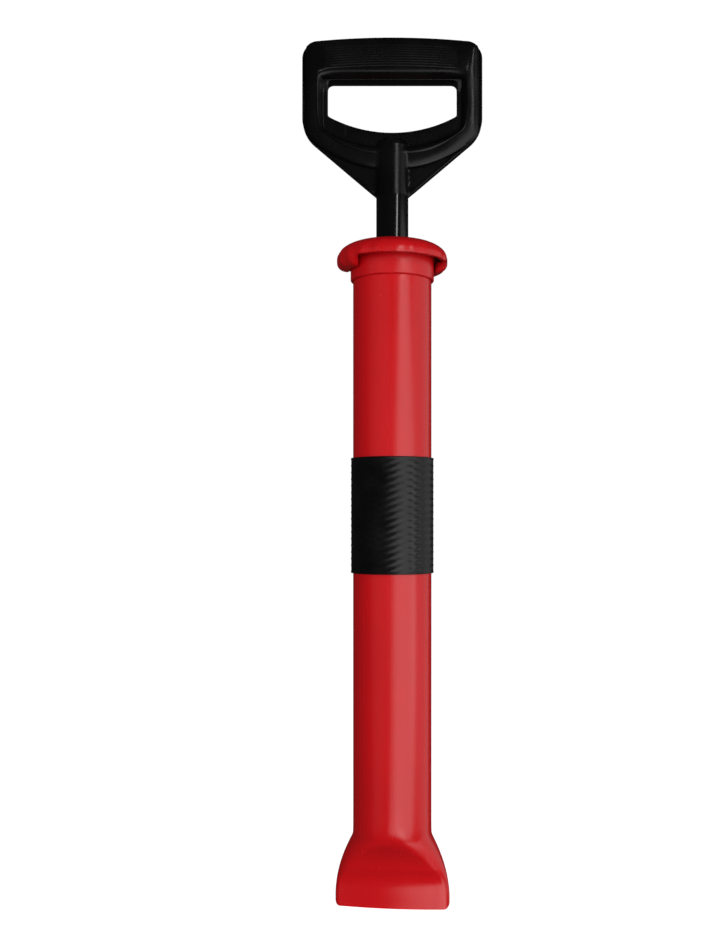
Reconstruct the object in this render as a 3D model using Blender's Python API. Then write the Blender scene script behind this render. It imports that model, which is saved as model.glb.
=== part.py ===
"""Hand mortar pump: a plunger with a D grip in a tube with a flattened mouth.

The origin is on the tube's axis, at the mouth's lower edge. +Z runs up the tube and X runs along the mouth.
The tube, its neck collar and its sleeve stand still. The seal pack slides in the tube, the rod, discs and grip
turn in the seal pack, and the cap screws up out of the neck with its gland.
"""

from math import acos, asin, atan, cos, degrees, pi, radians, sin, sqrt, tau

import bmesh
import bpy
from mathutils import Matrix

MM = 0.001
GAP = 0.3 * MM  # between pieces that touch or are pressed together
FINE = 48  # sides of the large round pieces
COARSE = 28  # sides of the small round pieces

# The tube and its mouth
TUBE_R = 31.5 * MM
WALL = 2.5 * MM
BORE_R = TUBE_R - WALL
TUBE_TOP = 514 * MM
MOUTH_HALF_WIDTH = 46.15 * MM
MOUTH_WIDEST = 7.5 * MM
FLARE_TOP = 58.2 * MM
FLARE_BLEND = 1.0 * MM
LIP_CHAMFER = 0.8 * MM
MOUTH_CORNER_R = 4.5 * MM  # the rounding of the mouth's edge at its two ends
CORNER_REACH = 14 * MM  # how far up the tube that rounding is felt

# The sleeve and the neck collar
SLEEVE_BOTTOM = 268 * MM
SLEEVE_TOP = 360 * MM
SLEEVE_R = 33.3 * MM
COLLAR_R = 33.5 * MM
COLLAR_BOTTOM = 501.8 * MM
COLLAR_CHAMFER = 1.3 * MM
COLLAR_TOP = 526 * MM

# The screw thread between the collar and the cap
PITCH = 5 * MM
THREAD_TURNS = 1.75
THREAD_BASE = 2.2 * MM
THREAD_CREST = 1.0 * MM
FEMALE_ROOT_R = 30.2 * MM
FEMALE_CREST_R = 29.0 * MM
MALE_ROOT_R = 28.6 * MM
MALE_CREST_R = 29.8 * MM

# The cap
CAP_R = 44.5 * MM
CAP_BOTTOM = 516.2 * MM
CAP_UNDERSIDE = 528 * MM
CAP_TOP = 531.5 * MM
CAP_SHOULDER_R = 11.5 * MM
SKIRT_WALL = 3.3 * MM
PLUG_WALL = 3 * MM
PLUG_BOTTOM = 516 * MM
HUB_R = 18.5 * MM
HUB_BOTTOM = 514.8 * MM
HUB_LIP = 1.5 * MM
POCKET_R = 16.3 * MM
LUG_BOTTOM = 509.7 * MM
LUG_HALF_ANGLE = 32
LUG_BEARING = -154  # degrees from +X, and a second lug opposite

# The rod and the grip
ROD_R = 12.95 * MM
ROD_WALL = 1.95 * MM
ROD_TOP = 569.7 * MM
GRIP_BOTTOM = 570 * MM
GRIP_HALF_WIDTH = 72.2 * MM
GRIP_CROWN = 696.2 * MM
GRIP_CROWN_R = 700 * MM
GRIP_CORNER_R = 13 * MM
GRIP_ELBOW_R = 27 * MM
GRIP_ELBOW_HEIGHT = 632.6 * MM
WEB_HALF_DEPTH = 3.2 * MM
RING_HALF_DEPTH = 9.5 * MM
BAR_HALF_DEPTH = 13.5 * MM
BAR_BOTTOM = 664 * MM
BOSS_TOP = 613 * MM
SPIGOT_BOTTOM = 532 * MM
SCREW_HEIGHT = 551 * MM
HANDLE_TURN = radians(6.2)  # how far round from the mouth the grip stands at rest

# The window in the grip
WINDOW_HALF_WIDTH = 51.9 * MM
WINDOW_TOP = 663 * MM
WINDOW_SIDE_BOTTOM = 634.5 * MM
WINDOW_CORNER_R = 4.5 * MM
WINDOW_SWEEP_R = 108 * MM

# The seal pack and the end of the rod
SEAL_R = 28.7 * MM
SEAL_LIP = 3 * MM
SEAL_BASE = 3 * MM
DISC_R = SEAL_R - SEAL_LIP - GAP
DISC_THICKNESS = 6 * MM
PISTON_BOTTOM = 66 * MM
SPACER_THICKNESS = 10 * MM
SPACER_R = 27.8 * MM
BOLT_R = 4 * MM
BOLT_HOLE_R = BOLT_R + GAP
HEX_R = 7.5 * MM


def clear_scene():
    for old in list(bpy.data.objects):
        bpy.data.objects.remove(old, do_unlink=True)


def material(name, colour, roughness, metallic=0.0):
    made = bpy.data.materials.new(name)
    made.use_nodes = True
    shader = made.node_tree.nodes["Principled BSDF"]
    shader.inputs["Base Color"].default_value = (*colour, 1.0)
    shader.inputs["Roughness"].default_value = roughness
    shader.inputs["Metallic"].default_value = metallic
    return made


def place(name, bm, finish, helper=False):
    """Makes the mesh an object with its faces pointing out. A helper only cuts or joins another object."""
    bmesh.ops.recalc_face_normals(bm, faces=bm.faces)
    mesh = bpy.data.meshes.new(name)
    bm.to_mesh(mesh)
    bm.free()
    made = bpy.data.objects.new(name, mesh)
    bpy.context.scene.collection.objects.link(made)
    mesh.materials.append(finish)
    mesh.shade_smooth()
    mesh.set_sharp_from_angle(angle=radians(35))
    if helper:
        made.hide_render = True
        made.display_type = "WIRE"
    return made


def combine(target, other, operation):
    """Joins or cuts the target with a helper."""
    step = target.modifiers.new(other.name, "BOOLEAN")
    step.operation = operation
    step.solver = "EXACT"
    step.object = other


def turned(name, profile, finish, sides=COARSE, sweep=tau, helper=False):
    """A closed outline of (radius, height) points spun about Z. A whole turn closes on itself."""
    bm = bmesh.new()
    start = [bm.verts.new((r, 0, z)) for r, z in profile]
    face = bm.faces.new(start)
    if sweep < tau:
        bmesh.ops.rotate(bm, verts=start, matrix=Matrix.Rotation(-sweep / 2, 3, "Z"))
        bmesh.ops.spin(bm, geom=[face], axis=(0, 0, 1), angle=sweep, steps=sides)
        return place(name, bm, finish, helper)
    edges = list(bm.edges)
    bmesh.ops.delete(bm, geom=[face], context="FACES_ONLY")
    bmesh.ops.spin(bm, geom=edges, axis=(0, 0, 1), angle=tau, steps=sides, use_merge=True)
    bmesh.ops.remove_doubles(bm, verts=bm.verts, dist=1e-6)
    return place(name, bm, finish, helper)


def ring(name, inner, outer, bottom, top, finish, sides=COARSE):
    profile = [(inner, bottom), (outer, bottom), (outer, top), (inner, top)]
    return turned(name, profile, finish, sides)


def rod_along_y(name, radius, y_from, y_to, height, finish, helper=False):
    """A round bar across the axis."""
    bm = bmesh.new()
    bmesh.ops.create_cone(
        bm, cap_ends=True, segments=16, radius1=radius, radius2=radius, depth=y_to - y_from
    )
    bmesh.ops.rotate(bm, verts=bm.verts, matrix=Matrix.Rotation(pi / 2, 3, "X"))
    bmesh.ops.translate(bm, verts=bm.verts, vec=(0, (y_from + y_to) / 2, height))
    return place(name, bm, finish, helper)


def skin(bm, rings):
    """Quads between each ring of points and the next, and from the last back to the first."""
    loops = [[bm.verts.new(point) for point in points] for points in rings]
    for lower, upper in zip(loops, loops[1:] + loops[:1]):
        count = len(lower)
        for i in range(count):
            j = (i + 1) % count
            bm.faces.new((lower[i], lower[j], upper[j], upper[i]))


def arc(centre_x, centre_z, radius, start, end, steps):
    """Points of an arc in the XZ plane, with its angles in degrees."""
    angles = [radians(start + (end - start) * i / steps) for i in range(steps + 1)]
    return [(centre_x + radius * cos(a), centre_z + radius * sin(a)) for a in angles]


def mirrored(right_half):
    """A closed outline from its right half, which runs from top to bottom off the centre line."""
    return right_half + [(-x, z) for x, z in reversed(right_half)]


def plate(name, outline, half_depth, finish, helper=True):
    """An outline in the XZ plane, extruded to both sides of it."""
    bm = bmesh.new()
    face = bm.faces.new([bm.verts.new((x, -half_depth, z)) for x, z in outline])
    grown = bmesh.ops.extrude_face_region(bm, geom=[face])["geom"]
    moved = [v for v in grown if isinstance(v, bmesh.types.BMVert)]
    bmesh.ops.translate(bm, verts=moved, vec=(0, 2 * half_depth, 0))
    return place(name, bm, finish, helper)


def soften(target, width, segments=2, angle=40):
    step = target.modifiers.new("soften", "BEVEL")
    step.width = width
    step.segments = segments
    step.limit_method = "ANGLE"
    step.angle_limit = radians(angle)


# The tube is heat-formed: its girth stays the same while the mouth is pressed flat and wide.


def mouth_half_width(height):
    flare = MOUTH_HALF_WIDTH - max(height - MOUTH_WIDEST, 0) ** 2 / (2 * flare_radius())
    return (TUBE_R + flare + sqrt((TUBE_R - flare) ** 2 + FLARE_BLEND**2)) / 2


def flare_radius():
    return (FLARE_TOP - MOUTH_WIDEST) ** 2 / (2 * (MOUTH_HALF_WIDTH - TUBE_R))


def mouth_half_depth(half_width):
    """Half the depth of a shape with round ends that has the tube's own girth."""
    return (tau * TUBE_R - 4 * half_width) / (tau - 4)


def section(height, inset):
    """One ring of the tube at a height, set in from its outer surface."""
    if height > FLARE_TOP + 6 * MM:
        a = b = TUBE_R - inset
    else:
        half_width = mouth_half_width(height)
        a = half_width - inset
        b = mouth_half_depth(half_width) - inset
    points = []
    flat = sin(radians(15))
    for i in range(FINE):
        t = tau * i / FINE
        spread = max(-1, min(1, cos(t) / flat))
        x = (a - b) * spread + b * cos(t)
        points.append((x, b * sin(t), height + corner_lift(x) * max(0, 1 - height / CORNER_REACH)))
    return points


def corner_lift(x):
    """How far the mouth's edge is rounded up near its two ends."""
    into_corner = abs(x) - (MOUTH_HALF_WIDTH - MOUTH_CORNER_R)
    if into_corner <= 0:
        return 0
    return MOUTH_CORNER_R - sqrt(max(MOUTH_CORNER_R**2 - into_corner**2, 0))


def make_barrel(red):
    flare = [7.5, 14, 20, 26, 32, 38, 44, 49, 53.5, 57, 60.5, 65]
    heights = [h * MM for h in flare] + [TUBE_TOP]
    outer = [section(0, LIP_CHAMFER), section(LIP_CHAMFER, 0)]
    outer += [section(h, 0) for h in heights]
    inner = [section(h, WALL) for h in reversed(heights)] + [section(0, WALL)]
    bm = bmesh.new()
    skin(bm, outer + inner)
    return place("barrel", bm, red)


def thread(name, root_r, crest_r, start, turns, finish):
    """A helical ridge from a root radius, a little inside the wall, to its crest. Its ends fade into the wall."""
    steps = round(turns * FINE)
    fade = FINE // 8
    bury = (root_r - crest_r) * 0.35
    bm = bmesh.new()
    sections = []
    for i in range(steps + 1):
        share = min(1, i / fade, (steps - i) / fade)
        angle = tau * i / FINE
        middle = start + PITCH * i / FINE
        tip = root_r + bury * 0.4 + (crest_r - root_r - bury * 0.4) * share
        corners = [
            (root_r + bury, middle - THREAD_BASE / 2),
            (root_r + bury, middle + THREAD_BASE / 2),
            (tip, middle + THREAD_CREST / 2),
            (tip, middle - THREAD_CREST / 2),
        ]
        sections.append([bm.verts.new((r * cos(angle), r * sin(angle), z)) for r, z in corners])
    for before, after in zip(sections, sections[1:]):
        for i in range(4):
            j = (i + 1) % 4
            bm.faces.new((before[i], before[j], after[j], after[i]))
    bm.faces.new(sections[0])
    bm.faces.new(sections[-1])
    return place(name, bm, finish, helper=True)


def make_collar(red):
    socket_r = TUBE_R + GAP
    shoulder = TUBE_TOP + GAP
    profile = [
        (socket_r, COLLAR_BOTTOM),
        (COLLAR_R - COLLAR_CHAMFER, COLLAR_BOTTOM),
        (COLLAR_R, COLLAR_BOTTOM + COLLAR_CHAMFER),
        (COLLAR_R, COLLAR_TOP - 0.6 * MM),
        (COLLAR_R - 0.6 * MM, COLLAR_TOP),
        (FEMALE_ROOT_R, COLLAR_TOP),
        (FEMALE_ROOT_R, shoulder),
        (socket_r, shoulder),
    ]
    collar = turned("neck_collar", profile, red, FINE)
    ridge = thread(
        "collar_thread", FEMALE_ROOT_R, FEMALE_CREST_R, TUBE_TOP + 2.4 * MM, THREAD_TURNS, red
    )
    combine(collar, ridge, "UNION")


def make_sleeve(rubber):
    inner = TUBE_R + GAP
    edge = 0.3 * MM
    profile = [
        (inner, SLEEVE_BOTTOM),
        (SLEEVE_R - edge, SLEEVE_BOTTOM),
        (SLEEVE_R, SLEEVE_BOTTOM + edge),
        (SLEEVE_R, SLEEVE_TOP - edge),
        (SLEEVE_R - edge, SLEEVE_TOP),
        (inner, SLEEVE_TOP),
    ]
    turned("grip_sleeve", profile, rubber, FINE)


def make_cap(red):
    shoulder_r = CAP_R - CAP_SHOULDER_R
    shoulder_z = CAP_TOP - CAP_SHOULDER_R
    inner_r = CAP_R - SKIRT_WALL
    inside_r = CAP_SHOULDER_R - SKIRT_WALL
    edge = 0.8 * MM
    profile = [
        (POCKET_R - HUB_LIP, HUB_BOTTOM),
        (HUB_R, HUB_BOTTOM),
        (HUB_R, CAP_UNDERSIDE),
        (MALE_ROOT_R - PLUG_WALL, CAP_UNDERSIDE),
        (MALE_ROOT_R - PLUG_WALL, PLUG_BOTTOM),
        (MALE_ROOT_R, PLUG_BOTTOM),
        (MALE_ROOT_R, CAP_UNDERSIDE),
    ]
    profile += arc(shoulder_r + MM, CAP_UNDERSIDE - inside_r, inside_r, 90, 0, 4)[:-1]
    profile += [
        (inner_r, CAP_UNDERSIDE - inside_r - MM),
        (inner_r, CAP_BOTTOM),
        (CAP_R - edge, CAP_BOTTOM),
        (CAP_R, CAP_BOTTOM + edge),
    ]
    profile += arc(shoulder_r, shoulder_z, CAP_SHOULDER_R, 0, 90, 6)
    profile += [
        (POCKET_R, CAP_TOP),
        (POCKET_R, HUB_BOTTOM + HUB_LIP),
        (POCKET_R - HUB_LIP, HUB_BOTTOM + HUB_LIP),
    ]
    cap = turned("screw_cap", profile, red, FINE)
    ridge = thread(
        "cap_thread",
        MALE_ROOT_R,
        MALE_CREST_R,
        TUBE_TOP + 2.4 * MM + PITCH / 2,
        THREAD_TURNS,
        red,
    )
    combine(cap, ridge, "UNION")
    lug_profile = [
        (COLLAR_R + 0.6 * MM, LUG_BOTTOM),
        (CAP_R - edge, LUG_BOTTOM),
        (CAP_R - 0.1 * MM, LUG_BOTTOM + edge),
        (CAP_R - 0.1 * MM, CAP_BOTTOM + 2 * MM),
        (COLLAR_R + 0.6 * MM, CAP_BOTTOM + 2 * MM),
    ]
    for number, bearing in enumerate((LUG_BEARING, LUG_BEARING + 180)):
        sweep = radians(2 * LUG_HALF_ANGLE)
        lug = turned(f"cap_lug_{number + 1}", lug_profile, red, 6, sweep, helper=True)
        lug.rotation_euler.z = radians(bearing)
        combine(cap, lug, "UNION")


def make_gland(rubber, plastic, steel):
    """What the cap holds round the rod: a flanged bush, a wiper and the washer under it, and the cap's gasket."""
    bore = ROD_R + GAP
    seat = POCKET_R - GAP
    washer_bottom = HUB_BOTTOM + HUB_LIP + GAP
    washer_top = washer_bottom + 1.4 * MM
    wiper_bottom = washer_top + GAP
    wiper_top = wiper_bottom + 3.4 * MM
    ring("wiper_washer", bore, seat, washer_bottom, washer_top, steel)
    wiper = [
        (bore, wiper_bottom + 0.8 * MM),
        (bore + 0.8 * MM, wiper_bottom),
        (seat, wiper_bottom),
        (seat, wiper_top),
        (bore + 0.8 * MM, wiper_top),
        (bore, wiper_top - 0.8 * MM),
    ]
    turned("rod_wiper", wiper, rubber)
    flange_bottom = CAP_TOP + GAP
    flange_top = flange_bottom + 1.6 * MM
    bush = [
        (bore, wiper_top + GAP),
        (seat, wiper_top + GAP),
        (seat, flange_bottom),
        (HUB_R, flange_bottom),
        (HUB_R, flange_top - 0.5 * MM),
        (HUB_R - 0.5 * MM, flange_top),
        (bore, flange_top),
    ]
    turned("rod_bush", bush, plastic)
    gasket_in = MALE_CREST_R + 0.6 * MM
    ring("cap_gasket", gasket_in, COLLAR_R - 0.4 * MM, COLLAR_TOP + GAP, CAP_UNDERSIDE - GAP, rubber, FINE)


def grip_outline():
    """The outline of the grip seen from the front, with the round corners and the V down to the rod."""
    crown_centre = GRIP_CROWN - GRIP_CROWN_R
    corner_x = GRIP_HALF_WIDTH - GRIP_CORNER_R
    lean = asin(corner_x / (GRIP_CROWN_R - GRIP_CORNER_R))
    corner_z = crown_centre + (GRIP_CROWN_R - GRIP_CORNER_R) * cos(lean)
    elbow_x = GRIP_HALF_WIDTH - GRIP_ELBOW_R
    reach = sqrt((elbow_x - ROD_R) ** 2 + (GRIP_ELBOW_HEIGHT - GRIP_BOTTOM) ** 2)
    bearing = atan((elbow_x - ROD_R) / (GRIP_ELBOW_HEIGHT - GRIP_BOTTOM))
    elbow_turn = degrees(bearing + asin(GRIP_ELBOW_R / reach))
    crown_edge = 90 - degrees(lean)
    right = arc(0, crown_centre, GRIP_CROWN_R, 89.4, crown_edge, 6)[:-1]
    right += arc(corner_x, corner_z, GRIP_CORNER_R, crown_edge, 0, 5)
    right += arc(elbow_x, GRIP_ELBOW_HEIGHT, GRIP_ELBOW_R, 0, -elbow_turn, 5)
    right += [(ROD_R, GRIP_BOTTOM)]
    return mirrored(right)


def window_outline(side=0.0, top=0.0, foot=0.0):
    """The window's outline, which may be grown to give the inner edge of the raised ring."""
    half_width = WINDOW_HALF_WIDTH + side
    head = WINDOW_TOP + top
    sweep_r = WINDOW_SWEEP_R + foot
    corner_r = WINDOW_CORNER_R + side
    centre_z = WINDOW_SIDE_BOTTOM + sqrt(WINDOW_SWEEP_R**2 - WINDOW_HALF_WIDTH**2)
    foot_angle = degrees(acos(half_width / sweep_r))
    right = arc(half_width - corner_r, head - corner_r, corner_r, 90, 0, 4)
    right += arc(0, centre_z, sweep_r, -foot_angle, -87, 6)
    return mirrored(right)


def ring_outline():
    """The outer edge of the raised ring: the grip's own edge above, and a sweep under the window below."""
    crown = [(x, z) for x, z in grip_outline() if z > GRIP_ELBOW_HEIGHT - MM and x > 0]
    inset = 0.4 * MM
    right = [(x - inset, z - inset) for x, z in crown[:-1]]
    right.append((GRIP_HALF_WIDTH - inset, GRIP_ELBOW_HEIGHT + 2 * MM))
    right += arc(GRIP_HALF_WIDTH - inset - 24 * MM, GRIP_ELBOW_HEIGHT + MM, 24 * MM, -6, -52, 4)
    right += [(38 * MM, 600 * MM), (22 * MM, 595.5 * MM), (3 * MM, 594 * MM)]
    return mirrored(right)


def make_grip(plastic):
    grip = plate("d_grip", grip_outline(), WEB_HALF_DEPTH, plastic, helper=False)
    raised = plate("grip_ring", ring_outline(), RING_HALF_DEPTH, plastic)
    hollow = plate("grip_ring_hollow", window_outline(6 * MM, 5 * MM, 11 * MM), 20 * MM, plastic)
    combine(raised, hollow, "DIFFERENCE")
    soften(raised, 3 * MM)
    bar_top = GRIP_CROWN - 0.6 * MM
    crown = [(x - 0.8 * MM, z - 0.6 * MM) for x, z in grip_outline() if x > 0 and z > BAR_BOTTOM]
    bar_outline = mirrored(crown + [(GRIP_HALF_WIDTH - 3 * MM, BAR_BOTTOM)])
    bar = plate("grip_bar", bar_outline, BAR_HALF_DEPTH, plastic)
    soften(bar, (bar_top - BAR_BOTTOM) / 3.6, 3, 60)
    boss_r = ROD_R
    spigot_r = ROD_R - ROD_WALL - GAP
    round_r = 4 * MM
    boss_profile = [(0, SPIGOT_BOTTOM), (spigot_r - MM, SPIGOT_BOTTOM), (spigot_r, SPIGOT_BOTTOM + MM)]
    boss_profile += [(spigot_r, GRIP_BOTTOM), (boss_r, GRIP_BOTTOM)]
    boss_profile += arc(boss_r - round_r, BOSS_TOP - round_r, round_r, 0, 90, 4)
    boss_profile += [(0, BOSS_TOP)]
    boss = turned("grip_boss", boss_profile, plastic, 32, helper=True)
    window = plate("grip_window", window_outline(), 30 * MM, plastic)
    hole_r = 1.75 * MM + GAP
    screw_hole = rod_along_y("grip_screw_hole", hole_r, 1 * MM, 20 * MM, SCREW_HEIGHT, plastic, True)
    combine(grip, raised, "UNION")
    combine(grip, bar, "UNION")
    combine(grip, boss, "UNION")
    combine(grip, window, "DIFFERENCE")
    combine(grip, screw_hole, "DIFFERENCE")
    return [grip, raised, hollow, bar, boss, window, screw_hole]


def make_rod(plastic, steel):
    """The rod is a tube. The grip's spigot is screwed into its top and a plug is pinned into its foot."""
    rod_bottom = rod_foot()
    inner = ROD_R - ROD_WALL
    rod = ring("rod_tube", inner, ROD_R, rod_bottom, ROD_TOP, plastic, 32)
    screw_hole = rod_along_y("rod_screw_hole", 2.1 * MM, 5 * MM, 20 * MM, SCREW_HEIGHT, plastic, True)
    pin_height = rod_bottom + 14 * MM
    pin_r = 2 * MM
    pin_hole = rod_along_y("rod_pin_hole", pin_r + GAP, -20 * MM, 20 * MM, pin_height, plastic, True)
    combine(rod, screw_hole, "DIFFERENCE")
    combine(rod, pin_hole, "DIFFERENCE")
    pin = rod_along_y("plug_pin", pin_r, -12.4 * MM, 12.4 * MM, pin_height, steel)
    flange_r = 16 * MM
    flange = 3 * MM
    spigot_r = inner - GAP
    plug_top = rod_bottom + 24 * MM
    profile = [
        (BOLT_HOLE_R, rod_bottom - GAP - flange),
        (flange_r, rod_bottom - GAP - flange),
        (flange_r, rod_bottom - GAP),
        (spigot_r, rod_bottom - GAP),
        (spigot_r, plug_top - MM),
        (spigot_r - MM, plug_top),
        (BOLT_HOLE_R, plug_top),
    ]
    plug = turned("rod_end_plug", profile, plastic)
    combine(plug, pin_hole, "DIFFERENCE")
    return [rod, screw_hole, pin_hole, pin, plug]


def make_handle_screw(steel):
    """A pan-head screw through the back of the rod into the grip's spigot."""
    head_bottom = ROD_R + 0.1 * MM
    profile = [
        (0, 2 * MM),
        (1.75 * MM, 2 * MM),
        (1.75 * MM, head_bottom),
        (3.8 * MM, head_bottom),
        (3.8 * MM, head_bottom + 1.2 * MM),
        (2.6 * MM, head_bottom + 2.2 * MM),
        (0, head_bottom + 2.2 * MM),
    ]
    screw = turned("handle_screw", profile, steel, 20)
    screw.rotation_euler.x = -pi / 2
    screw.location.z = SCREW_HEIGHT
    bm = bmesh.new()
    bmesh.ops.create_cube(bm, size=1)
    bmesh.ops.scale(bm, verts=bm.verts, vec=(4.6 * MM, 0.9 * MM, 2 * MM))
    slot = place("screw_slot", bm, steel, helper=True)
    slot.location = (0, head_bottom + 2.4 * MM, SCREW_HEIGHT)
    slot.rotation_euler.x = -pi / 2
    combine(screw, slot, "DIFFERENCE")
    return [screw, slot]


# Heights of the stack on the bolt, from the pressure disc up to the foot of the rod


def lower_seal_base():
    return PISTON_BOTTOM + DISC_THICKNESS + GAP


def spacer_bottom():
    return lower_seal_base() + SEAL_BASE + GAP


def upper_seal_base():
    return spacer_bottom() + SPACER_THICKNESS + GAP


def upper_disc_bottom():
    return upper_seal_base() + SEAL_BASE + GAP


def nut_bottom():
    return upper_disc_bottom() + DISC_THICKNESS + GAP


def rod_foot():
    nut = 6.5 * MM
    return nut_bottom() + nut + 2 * GAP + 3 * MM


def cup(name, base, direction, rubber):
    """A cup seal: a flat base with a lip that stands away from it round the disc."""
    far = base + direction * (SEAL_BASE + DISC_THICKNESS)
    near = base + direction * SEAL_BASE
    lip_r = SEAL_R - SEAL_LIP
    profile = [
        (BOLT_HOLE_R, base),
        (SEAL_R - 0.8 * MM, base),
        (SEAL_R, base + direction * 1.5 * MM),
        (SEAL_R, far),
        (SEAL_R - 1.2 * MM, far),
        (lip_r, near + direction * 1.5 * MM),
        (lip_r, near),
        (BOLT_HOLE_R, near),
    ]
    turned(name, profile, rubber, FINE)


def make_seal_pack(rubber, plastic):
    cup("lower_cup_seal", lower_seal_base() + SEAL_BASE, -1, rubber)
    cup("upper_cup_seal", upper_seal_base(), 1, rubber)
    ring("seal_spacer", BOLT_HOLE_R, SPACER_R, spacer_bottom(), spacer_bottom() + SPACER_THICKNESS, plastic, 32)


def disc(name, bottom, plastic):
    top = bottom + DISC_THICKNESS
    edge = 0.8 * MM
    profile = [
        (BOLT_HOLE_R, bottom),
        (DISC_R - edge, bottom),
        (DISC_R, bottom + edge),
        (DISC_R, top - edge),
        (DISC_R - edge, top),
        (BOLT_HOLE_R, top),
    ]
    return turned(name, profile, plastic, 32)


def make_bolt(steel):
    """The hex bolt through the seal pack, its washer, and the nut that locks it below the rod's plug."""
    washer_top = PISTON_BOTTOM - GAP
    washer_bottom = washer_top - 1.6 * MM
    washer = ring("bolt_washer", BOLT_HOLE_R, 9 * MM, washer_bottom, washer_top, steel)
    head_top = washer_bottom - GAP
    head_bottom = head_top - 5.3 * MM
    bolt_top = rod_foot() + 12 * MM
    tip = 1.2 * MM
    shank = [(0, head_top - MM), (BOLT_R, head_top - MM), (BOLT_R, bolt_top - tip)]
    shank += [(BOLT_R - tip, bolt_top), (0, bolt_top)]
    shank_piece = turned("bolt_shank", shank, steel, 20, helper=True)
    head = hexagon("piston_bolt", head_bottom, head_top, steel)
    combine(head, shank_piece, "UNION")
    nut = hexagon("lock_nut", nut_bottom(), nut_bottom() + 6.5 * MM, steel)
    hole = [(0, 0), (BOLT_HOLE_R, 0), (BOLT_HOLE_R, 1), (0, 1)]
    nut_hole = turned("nut_hole", hole, steel, 20, helper=True)
    combine(nut, nut_hole, "DIFFERENCE")
    return [washer, head, shank_piece, nut, nut_hole]


def hexagon(name, bottom, top, steel):
    bm = bmesh.new()
    bmesh.ops.create_cone(
        bm, cap_ends=True, segments=6, radius1=HEX_R, radius2=HEX_R, depth=top - bottom
    )
    bmesh.ops.translate(bm, verts=bm.verts, vec=(0, 0, (bottom + top) / 2))
    return place(name, bm, steel)


def make_stop_ring(rubber):
    """The rubber ring that meets the cap's hub when the plunger is drawn right out."""
    foot = rod_foot() + GAP
    return ring("stop_ring", ROD_R + GAP, 18.4 * MM, foot, foot + 8 * MM, rubber)


def main():
    clear_scene()
    red = material("red_pvc", (0.62, 0.008, 0.012), 0.38)
    black = material("black_polypropylene", (0.012, 0.012, 0.012), 0.35)
    rubber = material("black_rubber", (0.018, 0.018, 0.018), 0.65)
    white = material("white_acetal", (0.75, 0.74, 0.70), 0.4)
    steel = material("zinc_plated_steel", (0.55, 0.56, 0.57), 0.35, 1.0)

    make_barrel(red)
    make_collar(red)
    make_sleeve(rubber)
    make_cap(red)
    make_gland(rubber, white, steel)
    make_seal_pack(rubber, white)

    plunger_axis = bpy.data.objects.new("plunger_axis", None)
    bpy.context.scene.collection.objects.link(plunger_axis)
    plunger_axis.rotation_euler.z = HANDLE_TURN
    plunger = make_grip(black) + make_rod(black, steel) + make_handle_screw(steel) + make_bolt(steel)
    plunger += [disc("lower_disc", PISTON_BOTTOM, black), disc("upper_disc", upper_disc_bottom(), black)]
    plunger.append(make_stop_ring(rubber))
    for piece in plunger:
        piece.parent = plunger_axis


main()
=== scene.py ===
"""Looks of a hand mortar pump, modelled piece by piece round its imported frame.

It is laid out as an add-on. Each piece, or group of like pieces, is one operator, the sizes and colours that
a user would change are properties, and main() runs the operators in order.
"""

from math import acos, asin, atan, cos, degrees, pi, radians, sin, sqrt, tau

import bpy
import numpy as np
from bpy.props import FloatProperty, FloatVectorProperty, IntProperty, PointerProperty
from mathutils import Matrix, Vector


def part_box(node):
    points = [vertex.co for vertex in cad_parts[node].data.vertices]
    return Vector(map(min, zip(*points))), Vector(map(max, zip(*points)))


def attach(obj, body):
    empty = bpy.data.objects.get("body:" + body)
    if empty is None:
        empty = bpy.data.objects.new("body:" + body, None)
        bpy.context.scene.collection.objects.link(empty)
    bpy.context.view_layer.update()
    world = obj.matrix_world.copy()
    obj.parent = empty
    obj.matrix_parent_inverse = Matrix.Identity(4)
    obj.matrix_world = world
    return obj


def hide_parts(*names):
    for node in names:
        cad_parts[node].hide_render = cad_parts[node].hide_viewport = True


bl_info = {
    "name": "Hand Mortar Pump",
    "version": (1, 0, 0),
    "blender": (4, 5, 0),
    "location": "3D View > Sidebar > Pump",
    "description": "Models a plunger hand pump with a D grip and a pressed mouth",
    "category": "Object",
}

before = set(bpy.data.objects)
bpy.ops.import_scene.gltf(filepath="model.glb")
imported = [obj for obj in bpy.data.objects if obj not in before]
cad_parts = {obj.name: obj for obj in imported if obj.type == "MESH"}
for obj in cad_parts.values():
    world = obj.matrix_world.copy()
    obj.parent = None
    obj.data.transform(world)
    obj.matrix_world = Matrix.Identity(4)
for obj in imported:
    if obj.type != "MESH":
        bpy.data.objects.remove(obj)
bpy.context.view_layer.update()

MM = 0.001
GAP = 0.3 * MM
HANDLE_TURN = radians(6.2)  # how far the plunger stands round from the mouth

# Sizes read from the frame
barrel_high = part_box("barrel")[1]
collar_low, collar_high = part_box("neck_collar")
sleeve_low, sleeve_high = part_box("grip_sleeve")
cap_low, cap_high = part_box("screw_cap")
rod_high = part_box("rod_tube")[1]
TUBE_R = barrel_high.y
TUBE_TOP = barrel_high.z
COLLAR_R = collar_high.y
SLEEVE_R = sleeve_high.y
CAP_TOP = cap_high.z
CAP_R = cap_high.y
ROD_R = rod_high.x
GRIP_BOTTOM = rod_high.z + GAP

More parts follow.
